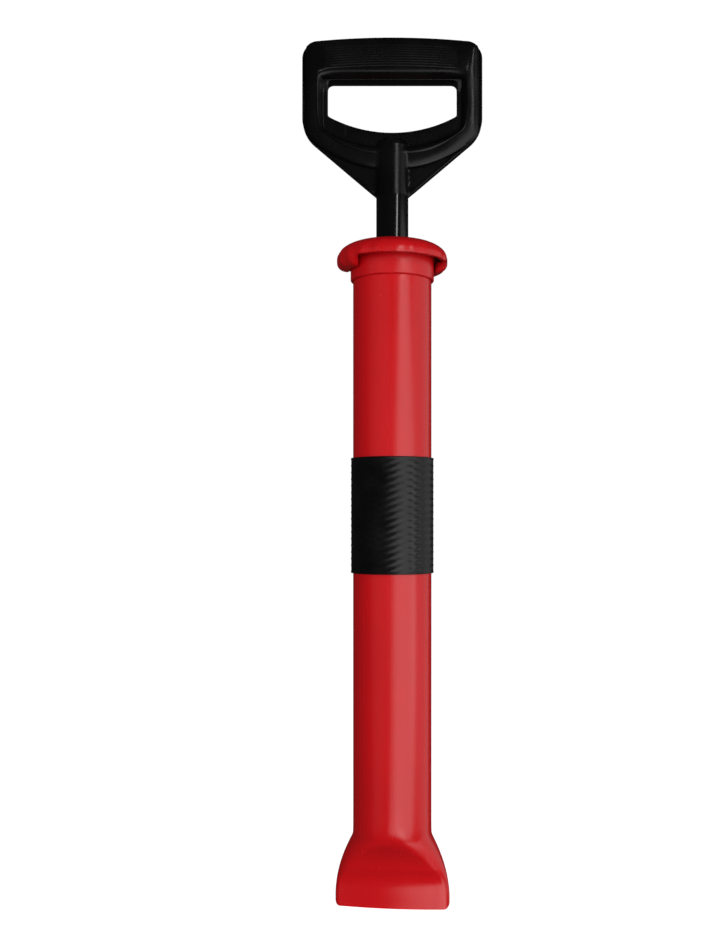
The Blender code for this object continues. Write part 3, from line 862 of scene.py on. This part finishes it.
class PUMP_OT_cap(bpy.types.Operator):
    """Model the screw cap with its flutes and its two lugs"""

    bl_idname = "pump.cap"
    bl_label = "Screw Cap"

    shoulder = 12.5 * MM
    shoulder_width = 19.5 * MM
    skirt_wall = 3.3 * MM
    plug_wall = 3 * MM
    plug_bottom = 516 * MM
    underside = 528 * MM
    skirt_bottom = 516.2 * MM
    pocket_r = 16.3 * MM
    hub_r = 18.5 * MM
    hub_bottom = 514.8 * MM
    hub_lip = 1.5 * MM
    lug_bearing = -154
    lug_half_angle = 32
    lug_inner_r = 34.0 * MM
    lug_shelf = 2.4 * MM
    lug_ramp = 10 * MM  # how far along its rim a lug takes to reach its full depth
    lug_inner_round = 0.12  # the shares of the wall that the rounding of a lug's two edges takes up
    lug_outer_round = 0.85

    def execute(self, context):
        sizes = context.scene.pump_sizes
        cap = turned("red_cap", self.profile(), 240)
        start = THREAD_START + PITCH / 2
        cut_thread(cap, MALE_ROOT_R, MALE_CREST_R, start, THREAD_TURNS, PITCH, RIDGE_BASE, RIDGE_CREST)
        for bearing in (self.lug_bearing, self.lug_bearing + 180):
            self.raise_lug(cap, radians(bearing))
        self.flute(cap, sizes.flutes, sizes.flute_depth)
        close_up(cap)
        hand_over(cap, "screw_cap", "cap", FINISHES["red_moulding"])
        return {"FINISHED"}

    def profile(self):
        inner_r = CAP_R - self.skirt_wall
        inside_r = self.shoulder - self.skirt_wall
        plug_in = MALE_ROOT_R - self.plug_wall
        ceiling_r = CAP_R - self.shoulder + MM
        points = [
            (self.pocket_r - self.hub_lip, self.hub_bottom),
            (self.hub_r, self.hub_bottom),
            (self.hub_r, self.underside),
            (plug_in, self.underside),
            (plug_in, self.plug_bottom),
        ]
        points += rows(MALE_ROOT_R, self.plug_bottom, self.underside, 0.4 * MM)
        points += arc(ceiling_r, self.underside - inside_r, inside_r, 90, 0, 10)[:-1]
        points += [
            (inner_r, self.underside - inside_r - MM),
            (inner_r, self.skirt_bottom),
            (CAP_R, self.skirt_bottom),
        ]
        for i in range(25):
            lean = pi / 2 * i / 24
            across = CAP_R - self.shoulder_width * (1 - cos(lean))
            points.append((across, CAP_TOP - self.shoulder * (1 - sin(lean))))
        points += [
            (self.pocket_r, CAP_TOP),
            (self.pocket_r, self.hub_bottom + self.hub_lip),
            (self.pocket_r - self.hub_lip, self.hub_bottom + self.hub_lip),
        ]
        skirt_top = self.skirt_bottom + self.lug_shelf + 0.5 * MM
        return divided(rounded(points, 0.7 * MM), inner_r, self.skirt_bottom, skirt_top, 0.16 * MM)

    def raise_lug(self, cap, bearing):
        """Swells the skirt's rim down and inwards into a soft lug."""
        wall = CAP_R - self.skirt_wall
        drop = self.skirt_bottom - cap_low.z
        half = radians(self.lug_half_angle)
        shelf_top = self.skirt_bottom + self.lug_shelf

        def move(radius, angle, z):
            if radius < wall - 0.02 * MM or z > shelf_top:
                return None
            off = abs((angle - bearing + pi) % tau - pi)
            swell = ease((half - off) * CAP_R, 0, self.lug_ramp)
            across = min(max((radius - wall) / self.skirt_wall, 0), 1)
            in_corner = max(1 - across / self.lug_inner_round, 0)
            out_corner = max(1 - (1 - across) / self.lug_outer_round, 0)
            shape = sqrt(1 - in_corner**2) * sqrt(1 - out_corner**2)
            shelf = 1 - ease(z, self.skirt_bottom, shelf_top)
            inwards = (wall - self.lug_inner_r) * swell * (1 - across) * shelf
            return radius - inwards, z - drop * swell * shape

        reshape(cap, move)

    def flute(self, cap, count, depth):
        """Sinks the flutes in the skirt. They fade out over the shoulder."""

        def move(radius, angle, z):
            if radius < CAP_R - self.skirt_wall + 0.3 * MM:
                return None
            wave = 0.5 + 0.5 * cos(count * (angle + pi / 2))
            fade = 1 - ease(z, CAP_TOP - self.shoulder, CAP_TOP - 2 * MM)
            return radius - depth * wave * fade, z

        reshape(cap, move)


class PUMP_OT_gland(bpy.types.Operator):
    """Model the bush, the wiper, its washer and the gasket in the cap"""

    bl_idname = "pump.gland"
    bl_label = "Gland"

    def execute(self, context):
        bore = ROD_R + GAP
        plain_ring("steel_wiper_washer", "wiper_washer", "gland", "zinc_steel", "zinc", bore, 0.2 * MM)

        low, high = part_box("rod_wiper")
        seat = high.x
        lip = 0.8 * MM
        points = [
            (bore, low.z + lip),
            (bore + lip, low.z),
            (seat, low.z),
            (seat, high.z),
            (bore + lip, high.z),
            (bore + 0.1 * MM, high.z - 0.6 * lip),
            (bore, high.z - lip),
        ]
        wiper = turned("rubber_wiper", rounded(points, 0.2 * MM))
        hand_over(wiper, "rod_wiper", "gland", FINISHES["seal_rubber"])

        low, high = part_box("rod_bush")
        flange = CAP_TOP + GAP
        flange_r = high.x
        points = [(bore, low.z), (seat, low.z), (seat, flange), (flange_r, flange)]
        points += [(flange_r, high.z - 0.5 * MM), (flange_r - 0.5 * MM, high.z), (bore, high.z)]
        bush = turned("white_bush", rounded(points, 0.3 * MM))
        hand_over(bush, "rod_bush", "gland", FINISHES["acetal"])

        inner = MALE_CREST_R + 0.6 * MM
        plain_ring("rubber_gasket", "cap_gasket", "gland", "black_rubber", "seal_rubber", inner, 0.3 * MM)
        return {"FINISHED"}


BOLT_HOLE_R = 4.3 * MM
SEAL_LIP = 3 * MM
POCKET_INNER_R = 11 * MM
POCKET_OUTER_R = 22 * MM
POCKET_DEPTH = 1.6 * MM


def cup_profile(base, far, near, seal_r):
    """A cup seal from the flat of its base to the end of its lip, either way up."""
    way = 1 if far > base else -1
    lip_r = seal_r - SEAL_LIP
    return [
        (BOLT_HOLE_R, base),
        (seal_r - 0.8 * MM, base),
        (seal_r - 0.15 * MM, base + way * 1.5 * MM),
        (seal_r - 0.15 * MM, base + way * 4 * MM),
        (seal_r, far - way * 0.8 * MM),
        (seal_r, far),
        (seal_r - 1.2 * MM, far),
        (lip_r, near + way * 1.5 * MM),
        (lip_r, near),
        (BOLT_HOLE_R, near),
    ]


class PUMP_OT_seals(bpy.types.Operator):
    """Model the two cup seals and the spacer between them"""

    bl_idname = "pump.seals"
    bl_label = "Seal Pack"

    def execute(self, context):
        base_thickness = 3 * MM
        for node, way in (("lower_cup_seal", -1), ("upper_cup_seal", 1)):
            low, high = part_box(node)
            base, far = (low.z, high.z) if way > 0 else (high.z, low.z)
            points = cup_profile(base, far, base + way * base_thickness, high.x)
            seal = turned("rubber_" + node, rounded(points, 0.4 * MM), 120)
            hand_over(seal, node, "seal_pack", FINISHES["seal_rubber"])
        low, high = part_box("seal_spacer")
        groove = 0.8 * MM
        middle = (low.z + high.z) / 2
        points = [(BOLT_HOLE_R, low.z), (high.x, low.z), (high.x, middle - 1.5 * MM)]
        points += [(high.x - groove, middle - MM), (high.x - groove, middle + MM)]
        points += [(high.x, middle + 1.5 * MM), (high.x, high.z), (BOLT_HOLE_R, high.z)]
        spacer = turned("white_spacer", rounded(points, 0.5 * MM), 120)
        hand_over(spacer, "seal_spacer", "seal_pack", FINISHES["acetal"])
        return {"FINISHED"}


class PUMP_OT_discs(bpy.types.Operator):
    """Model the discs that press on the cup seals, with the pockets between their ribs"""

    bl_idname = "pump.discs"
    bl_label = "Discs"

    def execute(self, context):
        for node, bare_side in (("lower_disc", -1), ("upper_disc", 1)):
            low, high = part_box(node)
            edge = 0.8 * MM
            outer = high.x
            bare = low.z if bare_side < 0 else high.z
            points = [(BOLT_HOLE_R, low.z), (outer - edge, low.z), (outer, low.z + edge)]
            points += [(outer, high.z - edge), (outer - edge, high.z), (BOLT_HOLE_R, high.z)]
            points = rounded(points, 0.3 * MM)
            pocket = [(POCKET_INNER_R, bare), (POCKET_OUTER_R, bare)]
            if bare_side > 0:
                first = next(i for i, point in enumerate(points) if abs(point[1] - bare) < 0.01 * MM)
                points[first + 1:first + 1] = pocket[::-1]
            else:
                first = next(i for i, point in enumerate(points) if point[0] > POCKET_INNER_R)
                points[first:first] = pocket
            disc = turned("black_" + node, points, 120)
            self.sink_pockets(disc, bare, bare_side)
            disc = face_grip(disc)
            hand_over(disc, node, "plunger", FINISHES["black_moulding"])
        return {"FINISHED"}

    def sink_pockets(self, disc, bare, side):
        """Six pockets, which leave six ribs between them."""
        rib_half_angle = radians(6.5)
        half_pitch = radians(30)

        def in_pocket(centre, normal):
            radius = sqrt(centre.x**2 + centre.y**2)
            bearing = np.arctan2(centre.y, centre.x)
            from_rib = abs((bearing + half_pitch) % (2 * half_pitch) - half_pitch)
            level = abs(centre.z - bare) < 0.01 * MM
            return level and POCKET_INNER_R < radius < POCKET_OUTER_R and from_rib > rib_half_angle

        select_where(disc, in_pocket, "FACE")
        bpy.ops.mesh.inset(thickness=0.2 * MM, depth=0)
        extrude(-side * POCKET_DEPTH)
        leave()


# The grip: loops run round its window, and each section runs from the window out to the grip's edge

GRIP_HALF_WIDTH = 72.2 * MM
GRIP_CROWN = 696.2 * MM
GRIP_CROWN_R = 640 * MM
GRIP_CORNER_R = 13 * MM
GRIP_ELBOW_R = 27 * MM
GRIP_ELBOW_HEIGHT = 632.6 * MM
WINDOW_HALF_WIDTH = 51.9 * MM
WINDOW_TOP = 661.9 * MM
WINDOW_SIDE_BOTTOM = 634.5 * MM
WINDOW_CORNER_R = 4.5 * MM
WINDOW_SWEEP_R = 108 * MM
HUB_Z = 648 * MM  # the middle of the window, where the sections start from
WEB = 3.2 * MM  # half the thickness of the grip's web
EDGE_R = 0.6 * MM  # the rounding of the web's edges
BOSS_TOP = 614.5 * MM
BOSS_ROUND = 5 * MM

# The relief's lines: half-width at the sides, height at the top, lowest point and radius of the bowl below
SLOPE_FOOT = (55.2 * MM, WINDOW_TOP + 0.8 * MM, 609.6 * MM, 114 * MM)
CREST = (59.6 * MM, 668.6 * MM, 605.6 * MM, 113 * MM)
OUTER_FOOT = (69.2 * MM, None, 590.4 * MM, 100 * MM)

RIBS_BELOW_CROWN = 8.6 * MM
RIBS_BAND = 17.6 * MM
RIBS_LOWEST = 660 * MM
RIBS_FADE = (52 * MM, 53.5 * MM)


def grip_edge():
    """The right half of the grip's outline, from the crown down to the rod."""
    crown_centre = GRIP_CROWN - GRIP_CROWN_R
    corner_x = GRIP_HALF_WIDTH - GRIP_CORNER_R
    lean = asin(corner_x / (GRIP_CROWN_R - GRIP_CORNER_R))
    corner_z = crown_centre + (GRIP_CROWN_R - GRIP_CORNER_R) * cos(lean)
    elbow_x = GRIP_HALF_WIDTH - GRIP_ELBOW_R
    reach = sqrt((elbow_x - ROD_R) ** 2 + (GRIP_ELBOW_HEIGHT - GRIP_BOTTOM) ** 2)
    bearing = atan((elbow_x - ROD_R) / (GRIP_ELBOW_HEIGHT - GRIP_BOTTOM))
    elbow_turn = degrees(bearing + asin(GRIP_ELBOW_R / reach))
    crown_edge = 90 - degrees(lean)
    right = arc(0, crown_centre, GRIP_CROWN_R, 90, crown_edge, 40)
    right += arc(corner_x, corner_z, GRIP_CORNER_R, crown_edge, 0, 24)[1:]
    right += arc(elbow_x, GRIP_ELBOW_HEIGHT, GRIP_ELBOW_R, 0, -elbow_turn, 24)
    return right + [(ROD_R, GRIP_BOTTOM), (0, GRIP_BOTTOM)]


def window_edge():
    """The right half of the window's outline, from top to bottom."""
    side, head = WINDOW_HALF_WIDTH, WINDOW_TOP
    centre_z = WINDOW_SIDE_BOTTOM + sqrt(WINDOW_SWEEP_R**2 - side**2)
    foot_angle = degrees(acos(side / WINDOW_SWEEP_R))
    corner_r = WINDOW_CORNER_R
    right = [(0, head)] + arc(side - corner_r, head - corner_r, corner_r, 90, 0, 12)
    lower_r = 1.2 * MM
    foot = arc(0, centre_z, WINDOW_SWEEP_R, -foot_angle, -90, 48)
    return right + [(side, WINDOW_SIDE_BOTTOM + lower_r)] + foot[1:]


def reach(outline, bearing):
    """How far an outline is from the hub along a bearing, and how squarely the bearing meets it."""
    way = Vector((cos(bearing), sin(bearing)))
    for start, end in zip(outline, outline[1:]):
        a = Vector((start[0], start[1] - HUB_Z))
        b = Vector((end[0], end[1] - HUB_Z))
        side = b - a
        crossing = way.x * side.y - way.y * side.x
        if abs(crossing) < 1e-12:
            continue
        share = (a.x * way.y - a.y * way.x) / crossing
        far = (a.x * side.y - a.y * side.x) / crossing
        if -1e-6 <= share <= 1 + 1e-6 and far > 0:
            return far, abs(crossing) / side.length
    raise ValueError("the outline doesn't cross that bearing")


def soft_least(values, softness):
    """The least of some lengths, rounded off where two of them are near each other."""
    return -softness * np.log(sum(np.exp(-value / softness) for value in values))


def to_line(bearing, line, softness):
    """How far a line of the relief is from the hub, with its corners rounded off."""
    side, top, bottom, radius = line
    centre = bottom + radius - HUB_Z
    drop = centre * sin(bearing)
    ways = [side / max(cos(bearing), 1e-3), drop + sqrt(max(drop * drop + radius**2 - centre**2, 0))]
    if top:
        ways.insert(1, (top - HUB_Z) / max(sin(bearing), 1e-3))
    return soft_least(ways, softness)


SECTION_PARTS = (5, 14, 54, 10, 8, 8)


def section_marks(bearing, outer, squarely, window):
    """Where the relief changes on one bearing: window, foot, crest, far crest, outer foot, lip, edge."""
    foot = max(to_line(bearing, SLOPE_FOOT, 1.0 * MM), window + 0.8 * MM)
    crest = max(to_line(bearing, CREST, 5.0 * MM), foot + 1.0 * MM)
    outer_foot = min(to_line(bearing, OUTER_FOOT, 2 * MM), outer - 0.3 * MM / squarely)
    height = HUB_Z + outer * sin(bearing)
    slope = (10.5 - 3.3 * ease(height, 660 * MM, 690 * MM)) * MM
    far_crest = max(outer_foot - slope / max(squarely, 0.6), crest + 0.5 * MM)
    lip = outer - 2.0 * MM / squarely
    if lip < outer_foot + 0.2 * MM:
        lip = (outer_foot + outer) / 2
    return [window, foot, crest, far_crest, outer_foot, lip, outer]


def crest_depth(z):
    """Half the thickness of the ring's crest: thick in the bar, thinner at the sides, thinnest below."""
    return 8.6 * MM + 2.0 * MM * ease(z, 606 * MM, 634 * MM) + 1.9 * MM * ease(z, 645 * MM, 672 * MM)


def section_depth(part, share, x, z, rib_depth):
    """Half the grip's thickness in one part of a section, before the boss and the rounded edges."""
    full = crest_depth(z)
    in_bar = ease(z, 652 * MM, 664 * MM)
    bulge = (0.9 - 0.5 * in_bar) * MM
    base = WEB + 3.6 * MM * in_bar
    if part == 0:
        return base
    if part == 1:
        rise = ease(share, 0, 1) * (1 - in_bar) + sin(share * pi / 2) * in_bar
        return base + (full - bulge - base) * rise
    if part == 2:
        rounding = bulge * (1 - 2 * share) ** 2
        return full - rounding - rib_depth * bar_rib(x, z)
    if part == 3:
        return WEB + (full - bulge - WEB) * max(1 - share**2.5, 0) ** 0.4
    if part == 4:
        return WEB
    return WEB + 0.7 * MM * ease(share, 0, 0.35) * ease(abs(x), ROD_R, ROD_R + 6 * MM)


def grip_section(bearing, rib_depth, outline, window_line):
    """Points of one section's front half, from the window to the edge, as (x, z, half-depth)."""
    outer, squarely = reach(outline, bearing)
    window, window_squarely = reach(window_line, bearing)
    marks = section_marks(bearing, outer, squarely, window)
    points = []
    for part, steps in enumerate(SECTION_PARTS):
        start, end = marks[part], marks[part + 1]
        last = part == len(SECTION_PARTS) - 1
        for step in range(steps + (1 if last else 0)):
            share = step / steps
            away = start + (end - start) * share
            x, z = away * cos(bearing), HUB_Z + away * sin(bearing)
            depth = with_boss(section_depth(part, share, x, z, rib_depth), x, z)
            from_window = (away - window) * window_squarely
            from_edge = (outer - away) * squarely
            at_foot = abs(x) < ROD_R + 0.01 * MM and z < GRIP_BOTTOM + 4 * MM
            for edge in (from_window, EDGE_R if at_foot else from_edge):
                into = max(EDGE_R - edge, 0)
                depth -= EDGE_R - sqrt(max(EDGE_R**2 - into**2, 0))
            points.append((x, z, depth))
    return points


def bar_rib(x, z):
    """How deep the groove between two ribs is here, from 0 to 1. The ribs follow the crown."""
    ribs = bpy.context.scene.pump_sizes.grip_ribs
    below = GRIP_CROWN - GRIP_CROWN_R + sqrt(GRIP_CROWN_R**2 - x * x) - z
    share = (below - RIBS_BELOW_CROWN) / RIBS_BAND
    if z < RIBS_LOWEST or not 0 < share < 1:
        return 0
    wave = 0.5 - 0.5 * cos(tau * ribs * share)
    return wave * (1 - ease(abs(x), *RIBS_FADE))


def with_boss(depth, x, z):
    """Melts the round boss over the rod into the relief."""
    if abs(x) > ROD_R or z > BOSS_TOP:
        return depth
    over = max(z - (BOSS_TOP - BOSS_ROUND), 0)
    shrink = BOSS_ROUND - sqrt(max(BOSS_ROUND**2 - over**2, 0))
    radius = ROD_R - shrink
    boss = sqrt(max(radius**2 - x * x, 0)) if abs(x) < radius else 0
    softness = 1.1 * MM
    low, high = min(boss, depth), max(boss, depth)
    if boss <= 1 * MM:
        return high
    return high + softness * np.log(1 + np.exp((low - high) / softness))


class PUMP_OT_grip(bpy.types.Operator):
    """Model the D grip"""

    bl_idname = "pump.grip"
    bl_label = "D Grip"

    def execute(self, context):
        rib_depth = context.scene.pump_sizes.rib_depth
        outline, window_line = grip_edge(), window_edge()
        bearings = self.bearings()
        sections = [grip_section(bearing, rib_depth, outline, window_line) for bearing in bearings]
        middle = len(sections) - 1
        count = len(sections[0])

        def place(turn, rise):
            station = round(turn * 2 * middle)
            i = round(rise * 2 * count) % (2 * count)
            front = i < count
            points = sections[min(station, 2 * middle - station)]
            x, z, depth = points[i if front else 2 * count - 1 - i]
            x = 0 if station % middle == 0 else x
            return (x if station < middle else -x, -depth if front else depth, z)

        grip = wrapped("black_grip", 2 * middle, 2 * count, place)
        self.draw_spigot(grip)
        face_grip(grip)
        hand_over(grip, "d_grip", "plunger", FINISHES["black_moulding"])
        return {"FINISHED"}

    def bearings(self):
        """From straight up to straight down. They are closer over the bar's ends and round the boss."""
        drop = HUB_Z - GRIP_BOTTOM
        corner = -atan(drop / ROD_R)
        spans = ((90, 56, 34), (56, 26, 70), (26, -34, 50), (-34, degrees(corner), 46))
        made = []
        for start, end, steps in spans:
            made += [radians(start + (end - start) * i / steps) for i in range(steps)]
        around = [radians(90 - 5 * i) for i in range(18)]
        made += [-atan(drop / (ROD_R * sin(a))) for a in around]
        return made + [-pi / 2]

    def draw_spigot(self, grip):
        """Draws the spigot down from the boss into the rod."""
        spigot_r = 10.7 * MM
        length = GRIP_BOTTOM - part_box("d_grip")[0].z

        def at_foot(centre, normal):
            return abs(centre.z - GRIP_BOTTOM) < 0.01 * MM and normal.z < -0.9

        select_where(grip, at_foot, "FACE")
        bpy.ops.mesh.inset(thickness=ROD_R - spigot_r, depth=0)
        extrude(MM - length)
        extrude(-MM)
        widen(0.9, GRIP_BOTTOM - length)
        leave()


class PUMP_OT_rod(bpy.types.Operator):
    """Model the rod, its end plug, the pin and the stop ring"""

    bl_idname = "pump.rod"
    bl_label = "Rod"

    def execute(self, context):
        inner = ROD_R - 1.95 * MM
        screw_hole_r = 2.1 * MM
        pin_hole_r = 2.3 * MM
        past = 20 * MM  # from the axis to well outside the rod
        low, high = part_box("rod_tube")
        pin_z = middle_of("plug_pin")
        rod = turned("black_rod", rounded(ring_profile(inner, ROD_R, low.z, high.z), 0.12 * MM), 128)
        combine(rod, bar_along_y(screw_hole_r, 5 * MM, past, middle_of("handle_screw")), "DIFFERENCE")
        combine(rod, bar_along_y(pin_hole_r, -past, past, pin_z), "DIFFERENCE")
        hand_over(rod, "rod_tube", "plunger", FINISHES["black_tube"])

        low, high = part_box("rod_end_plug")
        flange_top = low.z + 3 * MM
        spigot_r = inner - GAP
        points = [(BOLT_HOLE_R, low.z), (high.x, low.z), (high.x, flange_top), (spigot_r, flange_top)]
        points += [(spigot_r, high.z - MM), (spigot_r - MM, high.z), (BOLT_HOLE_R, high.z)]
        plug = turned("black_end_plug", rounded(points, 0.4 * MM), 96)
        combine(plug, bar_along_y(pin_hole_r, -past, past, pin_z), "DIFFERENCE")
        hand_over(plug, "rod_end_plug", "plunger", FINISHES["black_moulding"])

        half_length = 12.4 * MM
        pin = bar_along_y(2 * MM, -half_length, half_length, pin_z, 32)
        pin.name = pin.data.name = "steel_pin"
        round_edges(pin, 0.4 * MM)
        hand_over(pin, "plug_pin", "plunger", FINISHES["zinc"])

        bore = ROD_R + GAP
        plain_ring("rubber_stop", "stop_ring", "plunger", "black_rubber", "seal_rubber", bore, 1.2 * MM)
        return {"FINISHED"}


def hexagon(name, radius, bottom, top):
    """A hexagon with its corners turned off at both ends."""
    bpy.ops.mesh.primitive_cylinder_add(
        vertices=6, radius=radius, depth=top - bottom, location=(0, 0, (bottom + top) / 2)
    )
    piece = named(name)
    settle(piece)
    flat_r = radius * cos(pi / 6) - 0.2 * MM
    drop = (radius + 0.2 * MM - flat_r) * 0.577
    points = [(flat_r, bottom), (radius + 0.2 * MM, bottom + drop), (radius + 0.2 * MM, top - drop)]
    points += [(flat_r, top)]
    combine(piece, turned("chamfer", points, 96, solid=True), "INTERSECT")
    return piece


class PUMP_OT_fasteners(bpy.types.Operator):
    """Model the bolt, its washer, the lock nut and the handle's screw"""

    bl_idname = "pump.fasteners"
    bl_label = "Fasteners"

    bolt_r = 4 * MM
    root_r = 3.4 * MM
    pitch = 1.25 * MM
    hex_r = 7.5 * MM

    def execute(self, context):
        washer = ("steel_bolt_washer", "bolt_washer", "plunger", "zinc_steel", "zinc")
        plain_ring(*washer, BOLT_HOLE_R, 0.25 * MM)
        self.make_bolt()
        self.make_nut()
        self.make_handle_screw()
        return {"FINISHED"}

    def make_bolt(self):
        low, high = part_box("piston_bolt")
        head_top = low.z + 5.3 * MM
        thread_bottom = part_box("upper_disc")[1].z
        tip = 1.2 * MM
        points = [(self.bolt_r, head_top - MM), (self.bolt_r, thread_bottom - MM)]
        points += rows(self.root_r, thread_bottom, high.z - tip, self.pitch / 6)
        points += [(self.root_r - 0.8 * MM, high.z)]
        shank = turned("shank", points, 40, solid=True)
        pitch = self.pitch
        turns = (high.z - tip - thread_bottom) / pitch
        cut_thread(shank, self.root_r, self.bolt_r, thread_bottom, turns, pitch, pitch, pitch / 8)
        bolt = hexagon("steel_bolt", self.hex_r, low.z, head_top)
        combine(bolt, shank, "UNION")
        face_grip(bolt)
        hand_over(bolt, "piston_bolt", "plunger", FINISHES["zinc"])

    def make_nut(self):
        low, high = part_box("lock_nut")
        nut = hexagon("steel_lock_nut", self.hex_r, low.z, high.z)
        over = MM
        flare = 0.7 * MM
        points = [(BOLT_HOLE_R + flare + over, low.z - over), (BOLT_HOLE_R, low.z + flare)]
        points += [(BOLT_HOLE_R, high.z - flare), (BOLT_HOLE_R + flare + over, high.z + over)]
        combine(nut, turned("hole", points, 40, solid=True), "DIFFERENCE")
        face_grip(nut)
        hand_over(nut, "lock_nut", "plunger", FINISHES["zinc"])

    def make_handle_screw(self):
        seat = ROD_R + 0.1 * MM
        shank_r = 1.75 * MM
        head_r = 3.8 * MM
        head = 2.2 * MM
        points = [(0.4 * MM, 2 * MM), (shank_r, 3.4 * MM), (shank_r, seat), (head_r, seat)]
        points += [(head_r, seat + 0.9 * MM), (head_r - 0.5 * MM, seat + 1.6 * MM)]
        points += [(2.4 * MM, seat + head), (0.6 * MM, seat + head)]
        screw = turned("steel_screw", points, 64, solid=True)
        slot_size = (9 * MM, 1 * MM, 2.2 * MM)
        bpy.ops.mesh.primitive_cube_add(size=1, location=(0, 0, seat + head), scale=slot_size)
        slot = named("slot")
        settle(slot)
        combine(screw, slot, "DIFFERENCE")
        round_edges(screw, 0.12 * MM, 2, 40)
        screw.rotation_euler.x = -pi / 2
        screw.location.z = middle_of("handle_screw")
        settle(screw)
        face_grip(screw)
        hand_over(screw, "handle_screw", "plunger", FINISHES["zinc"])


class PUMP_OT_stage(bpy.types.Operator):
    """Set the floor, the lights and the camera"""

    bl_idname = "pump.stage"
    bl_label = "Stage"

    camera_bearing = radians(6.2)
    camera_distance = 0.886
    camera_height = 0.312

    def execute(self, context):
        self.lay_floor()
        self.set_world(context.scene)
        self.softbox("key", 36, 1.65, 0.0, (1.84, 1.84), 19.0, True)
        self.softbox("strip", 33, 1.55, 1.2, (0.16, 0.60), 2.3, True)
        self.softbox("side", 95, 1.65, 0.35, (1.70, 2.40), 8.0, True)
        self.softbox("low", 13, 1.65, -0.75, (1.30, 0.60), 5.2, True)
        self.softbox("fill", -36, 2.2, 0.5, (2.4, 2.2), 28.5, False)
        self.set_camera(context.scene)
        return {"FINISHED"}

    def bearing_place(self, degrees_right, distance, height):
        angle = self.camera_bearing + radians(degrees_right)
        return Vector((distance * sin(angle), -distance * cos(angle), height))

    def softbox(self, name, degrees_right, distance, height, size, power, in_gloss):
        """A soft panel that faces the pump, some degrees to the right of the camera."""
        place = self.bearing_place(degrees_right, distance, height)
        bpy.ops.object.light_add(type="AREA", location=place)
        panel = bpy.context.object
        panel.name = name
        panel.rotation_euler = (Vector((0, 0, height)) - place).to_track_quat("-Z", "Z").to_euler()
        panel.data.shape = "RECTANGLE"
        panel.data.size, panel.data.size_y = size
        panel.data.energy = power
        panel.visible_glossy = in_gloss

    def lay_floor(self):
        bpy.ops.mesh.primitive_plane_add(size=12, location=(0, 0, 0))
        floor = named("floor")
        only(floor)
        finish = Finish("pale_floor", Roughness=0.9, Specular_IOR_Level=0.1)
        finish.cloud(noise(finish.tree, finish.vector, 3.0, 2.0), (0.86, 0.86, 0.86), (0.88, 0.88, 0.88))
        finish.shader.inputs["Emission Color"].default_value = (1.0, 1.0, 1.0, 1.0)
        finish.shader.inputs["Emission Strength"].default_value = 0.9
        floor.data.materials.append(finish.material)
        floor.visible_diffuse = floor.visible_glossy = False

    def set_world(self, scene):
        """White behind the pump, and a dim even light from all round."""
        world = bpy.data.worlds.new("studio")
        world.use_nodes = True
        tree = world.node_tree
        background = tree.nodes["Background"]
        path = tree.nodes.new("ShaderNodeLightPath").outputs
        even = reckon(tree, "MULTIPLY", path["Is Diffuse Ray"], 0.14)
        strength = reckon(tree, "ADD", path["Is Camera Ray"], even)
        background.inputs["Color"].default_value = (1.0, 1.0, 1.0, 1.0)
        tree.links.new(reckon(tree, "ADD", strength, 0.02), background.inputs["Strength"])
        scene.world = world
        scene.view_settings.view_transform = "Standard"

    def set_camera(self, scene):
        place = self.bearing_place(0, self.camera_distance, self.camera_height)
        bpy.ops.object.camera_add(location=place, rotation=(pi / 2, 0, self.camera_bearing))
        camera = bpy.context.object
        camera.name = "camera"
        camera.data.lens = 41.8
        camera.data.sensor_width = 36
        camera.data.shift_x = -0.0388
        camera.data.shift_y = 0.0464
        camera.data.clip_start = 0.01
        scene.camera = camera


OPERATORS = (
    PUMP_OT_finishes,
    PUMP_OT_barrel,
    PUMP_OT_collar,
    PUMP_OT_sleeve,
    PUMP_OT_cap,
    PUMP_OT_gland,
    PUMP_OT_seals,
    PUMP_OT_discs,
    PUMP_OT_grip,
    PUMP_OT_rod,
    PUMP_OT_fasteners,
    PUMP_OT_stage,
)


class PUMP_PT_panel(bpy.types.Panel):
    """Builds the pump piece by piece"""

    bl_idname = "PUMP_PT_panel"
    bl_label = "Hand Mortar Pump"
    bl_space_type = "VIEW_3D"
    bl_region_type = "UI"
    bl_category = "Pump"

    def draw(self, context):
        layout = self.layout
        for group in (context.scene.pump_sizes, context.scene.pump_colours):
            for name in group.__annotations__:
                layout.prop(group, name)
        for operator in OPERATORS:
            layout.operator(operator.bl_idname)


CLASSES = (PumpSizes, PumpColours, *OPERATORS, PUMP_PT_panel)


def register():
    for made in CLASSES:
        bpy.utils.register_class(made)
    bpy.types.Scene.pump_sizes = PointerProperty(type=PumpSizes)
    bpy.types.Scene.pump_colours = PointerProperty(type=PumpColours)


def unregister():
    del bpy.types.Scene.pump_colours
    del bpy.types.Scene.pump_sizes
    for made in reversed(CLASSES):
        bpy.utils.unregister_class(made)


def main():
    register()
    for operator in OPERATORS:
        group, action = operator.bl_idname.split(".")
        getattr(getattr(bpy.ops, group), action)()


if __name__ == "__main__":
    main()
